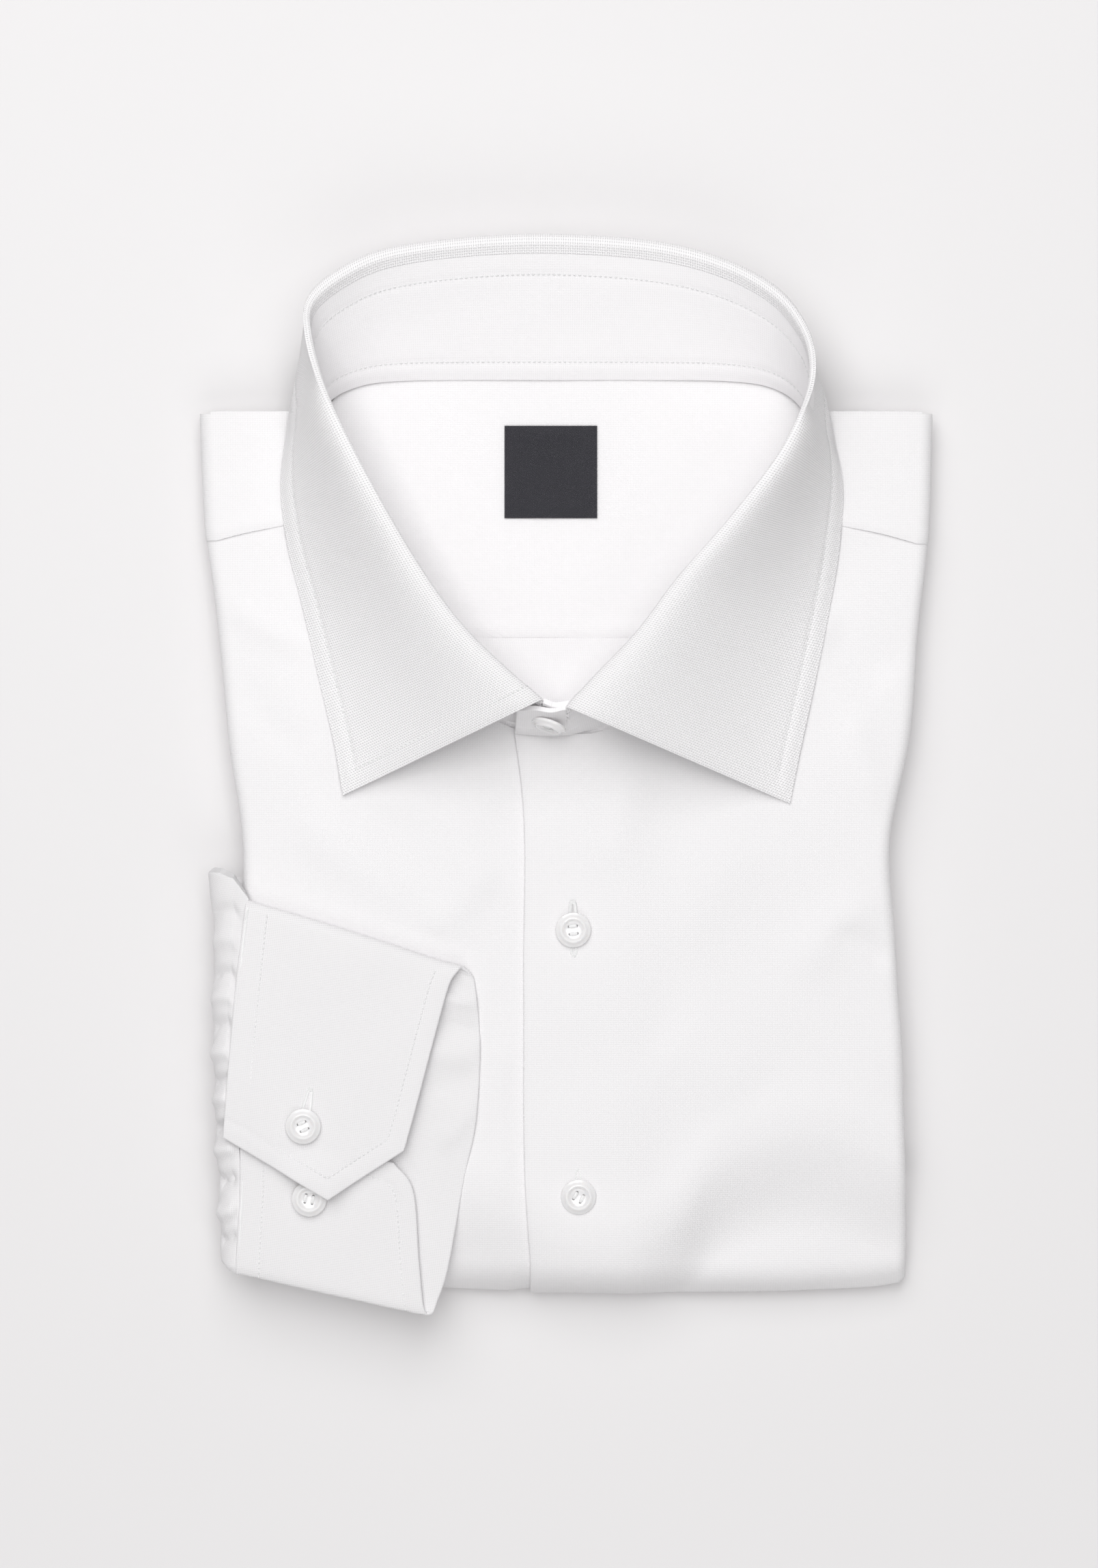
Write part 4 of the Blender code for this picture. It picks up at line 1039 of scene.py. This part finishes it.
def band(finish, threads):
    grid = band_grid()
    outer = lengths(grid[:, ::-1], 1)[:, ::-1]
    foot_way = np.linalg.norm(grid - grid[:, :1], axis=2)
    inner = slice(BAND_END_ROWS, -BAND_END_ROWS)
    relief = 0
    for field, value in ((foot_way, BAND_STITCH_UP), (outer, BAND_STITCH_DOWN)):
        sew(threads, grid[inner], BAND_CLOTH / 2 - SINKS["band"], field[inner], value)
        relief = relief + seam_groove(field - value, GROOVES["band"])
    relief = relief + soft_waves(grid[..., 0], grid[..., 1] + 3 * grid[..., 2], SLACK["band"])
    past_leaf = np.ones((len(grid), 1))
    past_leaf[inner] = 0.0
    thick = BAND_CLOTH + (BAND_END_CLOTH - BAND_CLOTH) * past_leaf * ease(9.0, 3.0, outer)
    thick = BAND_FOOT_CLOTH + (thick - BAND_FOOT_CLOTH) * ease(0.0, 4.0, foot_way)
    grid, thick, relief = rounded((grid, thick, relief), ("first_column", "first_row", "last_row"))
    return cloth("collar_band", grid, thick, finish, uv=ring_places(grid, 20), relief=relief)


# Cuff and sleeve
def cuff_grid():
    """Cuff: rows round its section from the pointed overlap, columns from sleeve to hand edge."""
    rows = join(spread(0, 3, 46)[:-1], spread(3, 9, 66)[:-1], spread(9, 20, 90))
    shares = join(spread(0, CUFF_TIP_AT, 42), spread(CUFF_TIP_AT, 1, 32)[1:])
    keys = np.arange(len(CUFF["z"]))
    left_x, left_y, right_x, right_y, lift = (curve(keys, CUFF[name], rows)[:, None] for name in
                                              ("left_x", "left_y", "right_x", "right_y", "z"))
    x = left_x + (right_x - left_x) * shares
    y = left_y + (right_y - left_y) * shares
    reach = np.where(shares < CUFF_TIP_AT, CUFF_TIP_AT, 1 - CUFF_TIP_AT)
    pointed = 1 - np.abs(shares - CUFF_TIP_AT) / reach
    y = y - CUFF_TIP * pointed * np.interp(rows, (0, 1, 2, 3), (1.0, 0.55, 0.12, 0.0))[:, None]
    near = np.hypot(x - CUFF_BUTTONS["x"][1], y - CUFF_BUTTONS["y"][1])
    lift = lift - 0.45 * np.interp(rows, (5, 8, 20), (0.0, 1.0, 1.0))[:, None]
    lift = lift + np.where(rows < 3.6, 1, 0)[:, None] * CUFF_LIFT * (1 - ease(6.0, 17.0, near))
    return points_of(x, y, cloth_top(x, y) + lift)


def cuff(finish, threads):
    """Cuff with its topstitching at the hand edge, at the pointed edge and beside the sleeve."""
    grid = cuff_grid()
    last = len(grid) - UNDERLAP_ROWS
    from_sleeve = lengths(grid[:, ::-1], 1)[:, ::-1]
    from_sleeve = from_sleeve[:, :1] - from_sleeve
    to_hand = np.minimum(to_line(grid, grid[:OVERLAP_ROWS, -1]), to_line(grid, grid[last:, -1]))
    to_end = np.full_like(to_hand, FAR)
    legs = (slice(0, OVERLAP_ROWS), slice(last, len(grid)))
    for rows, end_line in zip(legs, (grid[0], grid[-1])):
        leg, hand, side = grid[rows], to_hand[rows], from_sleeve[rows]
        to_end[rows] = end = to_line(leg, end_line)
        for field, value, axis, allowed in (
                (hand, TOPSTITCH_IN, 1, (hand <= end) & (side > 20)),
                (end, TOPSTITCH_IN, 0, (end < hand) & (side > 1.0)),
                (side, CUFF_SLEEVE_STITCH, 1, end > TOPSTITCH_IN)):
            sew(threads, leg, CUFF_CLOTH / 2 - SINKS["cuff"], field, value, axis, allowed, -1)
        threads.add(leg[:, 1] + np.array((0.0, 0.0, CUFF_CLOTH / 2)), SEAM_CORD, UP)
    edge = np.minimum(to_hand, to_end)
    relief = seam_groove(edge - TOPSTITCH_IN, GROOVES["cuff"])
    at_seam = seam_groove(from_sleeve - CUFF_SLEEVE_STITCH, GROOVES["cuff_seam"])
    relief += at_seam * (edge > TOPSTITCH_IN)
    relief += 0.35 * hump(from_sleeve, 1.4)
    relief += edge_fullness(edge, 0.12)
    relief += soft_waves(grid[..., 0], lengths(grid), SLACK["cuff"])
    inside = slice(OVERLAP_ROWS + 20, last - 20)
    relief[inside] -= creases(grid[inside, :, 0], grid[inside, :, 1], CUFF_CREASES)
    thick = np.full(grid.shape[:2], CUFF_CLOTH)
    grid, thick, relief = rounded((grid, thick, relief), ALL_EDGES)
    x, y = grid[..., 0], grid[..., 1]
    lean = math.radians(CUFF_LEAN)
    uv = points_of(x * math.cos(lean) + y * math.sin(lean), y * math.cos(lean) - x * math.sin(lean))
    return cloth("cuff", grid, thick, finish, uv=uv, relief=-relief)


def sleeve_ply(turn, way, outer):
    """One ply of the sleeve, from its hidden run round the left edge to the cuff."""
    upper, lower = (straight(SLEEVE, turn, name) for name in ("upper_y", "lower_y"))
    y = upper + (lower - upper) * way
    edge_x = straight(SLEEVE_END, y, "upper_x" if outer else "lower_x")
    out_x = smooth(SLEEVE_OUTLINE, y, "x") - SHIRTING
    top = cloth_top(rim_x(-1, y), y)
    low = top - 2 * CURL_REACH - GAP - SOLID_CLOTH / 2
    if outer:
        high = top + straight(SLEEVE_END, y, "upper_z")
        low = low - 2 * SLEEVE_PLY
    else:
        high = top + (GAP + SOLID_CLOTH / 2)
        out_x = out_x + 2 * SLEEVE_PLY
    middle = (low + high) / 2
    angle = np.clip(turn, 0, 1) * math.pi / 2
    x = SLEEVE_RUN_X + (out_x - SLEEVE_RUN_X) * np.sin(angle)
    z = middle - (middle - low) * np.cos(angle)
    x = np.where(turn <= 0, SLEEVE_RUN_X - turn * SLEEVE_RUN, x)
    angle = np.clip(turn - 1, 0, 1) * math.pi / 2
    x = np.where(turn > 1, edge_x - (edge_x - out_x) * np.cos(angle), x)
    z = np.where(turn > 1, middle + (high - middle) * np.sin(angle), z)
    return points_of(x, y, z)


def sleeve(finish):
    """Sleeve with small gathers where it goes into the cuff; columns run round its tube."""
    turn = join(spread(-1, 0, 14)[:-1], spread(0, 1, 26)[:-1], spread(1, 2, 60))[:, None]
    way = spread(0, 1, 150)
    outer, inner = sleeve_ply(turn, way, True), sleeve_ply(turn, way, False)[:, ::-1]
    ply = np.array((0, SLEEVE_PLY, 0))
    hem_end = ((outer[:, -1] + inner[:, 0]) / 2 - ply)[:, None]
    top_end = ((outer[:, 0] + inner[:, -1]) / 2 + ply)[:, None]
    grid = join(outer, hem_end, inner, top_end, axis=1)
    way = join(way, [1.0], way[::-1], [0.0])
    face = join(np.ones(150), np.zeros(152))
    near = 0.3 * ease(0.2, 1.0, turn) + 0.9 * ease(1.0, 1.35, turn)
    near = near * (1 - 0.92 * ease(1.72, 2.0, turn))
    pleats = np.zeros(grid.shape[:2])
    for spot, width, height in SLEEVE_GATHERS:
        pleats += height * hump(way - (spot + 0.05 * (2 - turn)), width)
    relief = -face * near * pleats
    return cloth("sleeve", grid, SHIRTING, finish, closed=True, relief=relief)


def label(finish):
    half = LABEL_SIZE / 2
    x = LABEL_CENTRE[0] + spread(-half, half, 60)[:, None]
    y = LABEL_CENTRE[1] - spread(-half, half, 60)[None, :]
    x, y = np.broadcast_arrays(x, y)
    edge = half - np.maximum(np.abs(x - LABEL_CENTRE[0]), np.abs(y - LABEL_CENTRE[1]))
    z = cloth_top(x, y) - BACK_DEPTH + SHIRTING / 2 + LABEL_CLOTH / 2 + LABEL_LIFT
    relief = 0.3 * hump(edge - 3.0, 2.4) * ease(0, 1.5, edge)
    relief += 0.12 * np.sin(x / 3.1 + 0.6 * np.sin(y / 4)) * np.sin(y / 3.7 + 1)
    thick = np.full(x.shape, LABEL_CLOTH)
    grid, thick, relief = rounded((points_of(x, y, z), thick, relief), ALL_EDGES)
    return cloth("label", grid, thick, finish, relief=-relief)


# Folds that do not show from above
def rim_path(inset):
    """Line round the folded shirt, up its left side, over its top and down its right side."""
    top = TOP_FOLD_Y - inset
    y = spread(LIP_END_Y, top - CORNER, 90)
    left, right = (points_of(side_x(side, y) - side * inset, y) for side in (-1, 1))
    turns = spread(0, math.pi / 2, 14)[1:-1]
    corner_y = top - CORNER + CORNER * np.sin(turns)
    corners = [points_of(line[-1, 0] - side * CORNER * (1 - np.cos(turns)), corner_y)
               for side, line in ((-1, left), (1, right))]
    flat = points_of(spread(left[-1, 0] + CORNER, right[-1, 0] - CORNER, 60), top)
    return join(left, corners[0], flat, corners[1][::-1], right[::-1])


def lip_free(x, y):
    """Height of the lower folds under the side curls, which leave the sleeve its room."""
    free = cloth_top(rim_x(np.where(x > 0, 1, -1), y), y) - 2 * CURL_REACH - 2 * GAP
    return free - np.where(x < 0, SLEEVE_ROOM * (1 - ease(-26.0, -14.0, y)), 0.0)


def lip(name, low, high, inset, finish):
    """Fold of hidden cloth round the shirt: a leg in, the round edge and a leg out again."""
    legs = spread(LIP_LEG, 0, 8)[:-1]
    lines = []
    turns = spread(-math.pi / 2, math.pi / 2, 13)
    turns = join(np.full(7, turns[0]), turns, np.full(7, turns[-1]))
    for leg, turn in zip(join(legs, np.zeros(13), legs[::-1]), turns):
        path = rim_path(inset + leg + LIP_ROUND * (1 - math.cos(turn)))
        share = (low + high) / 2 + (high - low) / 2 * math.sin(turn)
        z = LIP_FLOOR + (lip_free(path[:, 0], path[:, 1]) - LIP_FLOOR) * share
        lines.append(join(path, z[:, None], axis=1))
    grid = np.stack(lines, axis=1)
    slack = 0.25 * np.sin(grid[..., 1] / 17 + low * 9) + 0.2 * np.sin(grid[..., 0] / 23 + low * 5)
    return cloth("folded_layers", grid, SHIRTING, finish, relief=slack * 0.5, name=name)


def underside(finish):
    """Cloth of the side that lies on the floor."""
    y = spread(RECESS_Y - 4, TOP_FOLD_Y - 3, 60)[:, None]
    left, right = side_x(-1, y) + 3, side_x(1, y) - 3
    x = right + (left - right) * spread(0, 1, 60)[None, :]
    z = SHIRTING / 2 + 0.02 + 0.6 * (1 - ease(RECESS_Y - 2, RECESS_Y + 6, y))
    return cloth("folded_layers", points_of(x, y, z), SHIRTING, finish, name="underside")


# Buttons
def button(name, centre, normal, turn, finish, thread):
    """Four-hole button with a rim and a bowl, and the crossed threads in its holes."""
    rings = len(BUTTON_OUTLINE)
    turns = np.arange(BUTTON_SIDES) * 2 * math.pi / BUTTON_SIDES
    radius, height = (np.array(values)[:, None] for values in zip(*BUTTON_OUTLINE))
    points = points_of(radius * np.cos(turns), radius * np.sin(turns), height).reshape(-1, 3)
    around = np.arange(BUTTON_SIDES)
    faces = tube_faces(rings, BUTTON_SIDES).tolist()
    faces += [around[::-1].tolist(), ((rings - 1) * BUTTON_SIDES + around).tolist()]
    mesh = bpy.data.meshes.new(name + "_pearl")
    mesh.from_pydata([tuple(point * MM) for point in points], [], faces)
    mesh.shade_smooth()
    mesh.set_sharp_from_angle(angle=math.radians(BUTTON_SHARP))
    piece = link_object(name + "_pearl", mesh)
    cutters = []
    for x, y in ((1, 1), (1, -1), (-1, 1), (-1, -1)):
        bpy.ops.mesh.primitive_cylinder_add(
            vertices=24, radius=BUTTON_HOLE_RADIUS * MM, depth=10 * MM,
            location=(x * BUTTON_HOLE_OFFSET * MM, y * BUTTON_HOLE_OFFSET * MM, 0))
        cutters.append(bpy.context.object)
        piece.modifiers.new("hole", "BOOLEAN").object = cutters[-1]
    settled = bpy.data.meshes.new_from_object(
        piece.evaluated_get(bpy.context.evaluated_depsgraph_get()))
    piece.modifiers.clear()
    piece.data = settled
    for cutter in cutters:
        bpy.data.objects.remove(cutter, do_unlink=True)
    settled.materials.clear()
    settled.materials.append(finish)
    facing = Vector(normal).to_track_quat("Z", "Y")
    piece.matrix_world = (Matrix.Translation(Vector(centre) * MM) @ facing.to_matrix().to_4x4()
                          @ Matrix.Rotation(turn, 4, "Z"))
    threads = Threads()
    ends = spread(-1, 1, 13)
    for up_way in (1, -1):
        for offset in (-0.3, 0.0, 0.3):
            rise = BUTTON_OUTLINE[-1][1] + 0.4 - 0.55 * np.abs(ends) ** 3 + 0.12 * (offset == 0)
            line = points_of(ends * (BUTTON_HOLE_OFFSET + 0.15),
                             up_way * BUTTON_HOLE_OFFSET + offset * (1 - 0.4 * np.abs(ends)), rise)
            threads.add(line, BUTTON_THREAD, UP, flat=0.9)
    sewn = threads.build(name + "_thread", thread)
    sewn.matrix_world = piece.matrix_world
    dress(sewn)
    return dress(piece, name)


def buttonhole(threads, centre, way, spread_by, length=16.0, half=1.25):
    """Buttonhole: close satin stitches on both sides of its slit, and a bar at each end.

    The button spreads the slit apart in its middle."""
    way = unit(np.array((*way, 0.0)))
    side = np.array((way[1], -way[0], 0.0))

    def satin(along, across, rise):
        path = np.array(centre, float) + way * along + side * across[:, None]
        threads.add(path + np.array(UP) * rise[:, None], SATIN_THREAD, UP, flat=0.8)

    for spot in np.arange(-length / 2, length / 2 + 0.01, SATIN_PITCH):
        apart = 0.06 + spread_by * (1 - abs(2 * spot / length))
        for hand in (-1, 1):
            satin(spot, (apart + spread(0.0, half, 5)) * hand, np.array(SATIN_ARCH))
    for end in (-1, 1):
        for step in (0.0, 0.3, 0.6, 0.9):
            satin(end * (length / 2 + step), spread(-half, half, 7) * (1 - 0.3 * step),
                  0.2 - 0.24 * np.abs(spread(-1, 1, 7)) ** 3)


def dress(piece, node=None):
    """Attach a piece to the root body, and hide the solid that it stands for, if one is named."""
    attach(piece, "root")
    if node is not None:
        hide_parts(node)
    return piece


# Light, floor and camera
def area_light(name, place, aim, size, power):
    light = bpy.data.lights.new(name, "AREA")
    light.shape = "RECTANGLE"
    light.size, light.size_y = size
    light.energy = power
    lamp = link_object(name, light)
    lamp.location = place
    lamp.rotation_euler = (Vector(aim) - Vector(place)).to_track_quat("-Z", "Y").to_euler()


def studio():
    """Pale paper under the shirt, a big soft light from the collar's side and soft fill."""
    bpy.ops.mesh.primitive_plane_add(size=FLOOR_SIZE)
    floor = bpy.context.object
    floor.name = "floor"
    paper, tree, shader = new_finish("paper", Roughness=0.9, Base_Color=(*PAPER_COLOUR, 1))
    bump(tree, shader, new_node(tree, "TexNoise", Scale=700.0).outputs["Fac"], 0.05, 0.2)
    floor.data.materials.append(paper)
    for row in LIGHTS:
        area_light(*row)
    world = bpy.data.worlds.new("studio")
    world.use_nodes = True
    fill(world.node_tree.nodes["Background"], {"Color": (1, 1, 1, 1), "Strength": WORLD_STRENGTH})
    scene = bpy.context.scene
    scene.world = world
    scene.view_settings.view_transform = "Standard"
    scene.view_settings.look = "None"


def camera():
    eye = bpy.data.cameras.new("camera")
    eye.sensor_fit = "VERTICAL"
    eye.sensor_height = SENSOR
    eye.lens = SENSOR * (CAMERA_PLACE[2] - FRAME_HEIGHT_Z) / FRAME_LONG_SIDE
    eye.clip_start, eye.clip_end = 0.05, 20.0
    stand = link_object("camera", eye)
    stand.location = [value * MM for value in CAMERA_PLACE]
    bpy.context.scene.camera = stand


def main():
    # One white cotton in lit and shaded copies: their tones are painted light and shade
    shirting, collar_cotton, band_cotton, cuff_cotton = (cotton_finish(*row) for row in COTTONS)
    thread = thread_finish("white_thread", 0.99)
    pearl = pearl_finish()
    right = front("front_right", -1, shirting)
    left = front("front_left", 1, shirting)
    inside = back(shirting)
    shoulders = yoke(shirting)
    collar_seams, cuff_seams, front_seams = Threads(), Threads(), Threads()
    collar_fall = leaf(collar_cotton, collar_seams)
    collar_stand = band(band_cotton, collar_seams)
    wrist = cuff(cuff_cotton, cuff_seams)
    arm = sleeve(cuff_cotton)
    tag = label(label_finish())
    folds = [lip(*row, shirting) for row in FOLDS]
    below = underside(shirting)
    for index, (x, y) in enumerate(zip(FRONT_BUTTONS["x"], FRONT_BUTTONS["y"])):
        z = cloth_top(x, y) + PLACKET_LIFT + BUTTON_LIFT
        buttonhole(front_seams, (x, y + 0.4, z - BUTTON_LIFT + 0.06), (-0.02, 1.0), 0.5)
        button("button_front_%d" % (index + 1), (x, y, z), UP, 0.1 + index, pearl, thread)
    for index, (x, y, lift) in enumerate(zip(*(CUFF_BUTTONS[name] for name in "xyz"))):
        z = cloth_top(x, y) + lift + CUFF_CLOTH / 2 + BUTTON_LIFT
        button("button_cuff_%d" % (index + 1), (x, y, z), UP, 0.4 + index, pearl, thread)
    x, y = CUFF_BUTTONS["x"][0] + 0.6, CUFF_BUTTONS["y"][0] + 3.4
    z = cloth_top(x, y) + CUFF["z"][0] + CUFF_CLOTH / 2 + 0.06
    buttonhole(cuff_seams, (x, y, z), (0.2, 0.98), 0.9)
    # The same white thread, darker on the collar: painted shade
    shaded_collar_thread = thread_finish("shaded_collar_thread", 0.87)
    shaded_collar_thread = dress(collar_seams.build("collar_stitches", shaded_collar_thread))
    cuff_thread = dress(cuff_seams.build("cuff_stitches", thread))
    front_thread = dress(front_seams.build("front_buttonholes", thread))
    button("button_collar", COLLAR_BUTTON, COLLAR_BUTTON_FACE, 0.2, pearl, thread)
    studio()
    camera()


main()
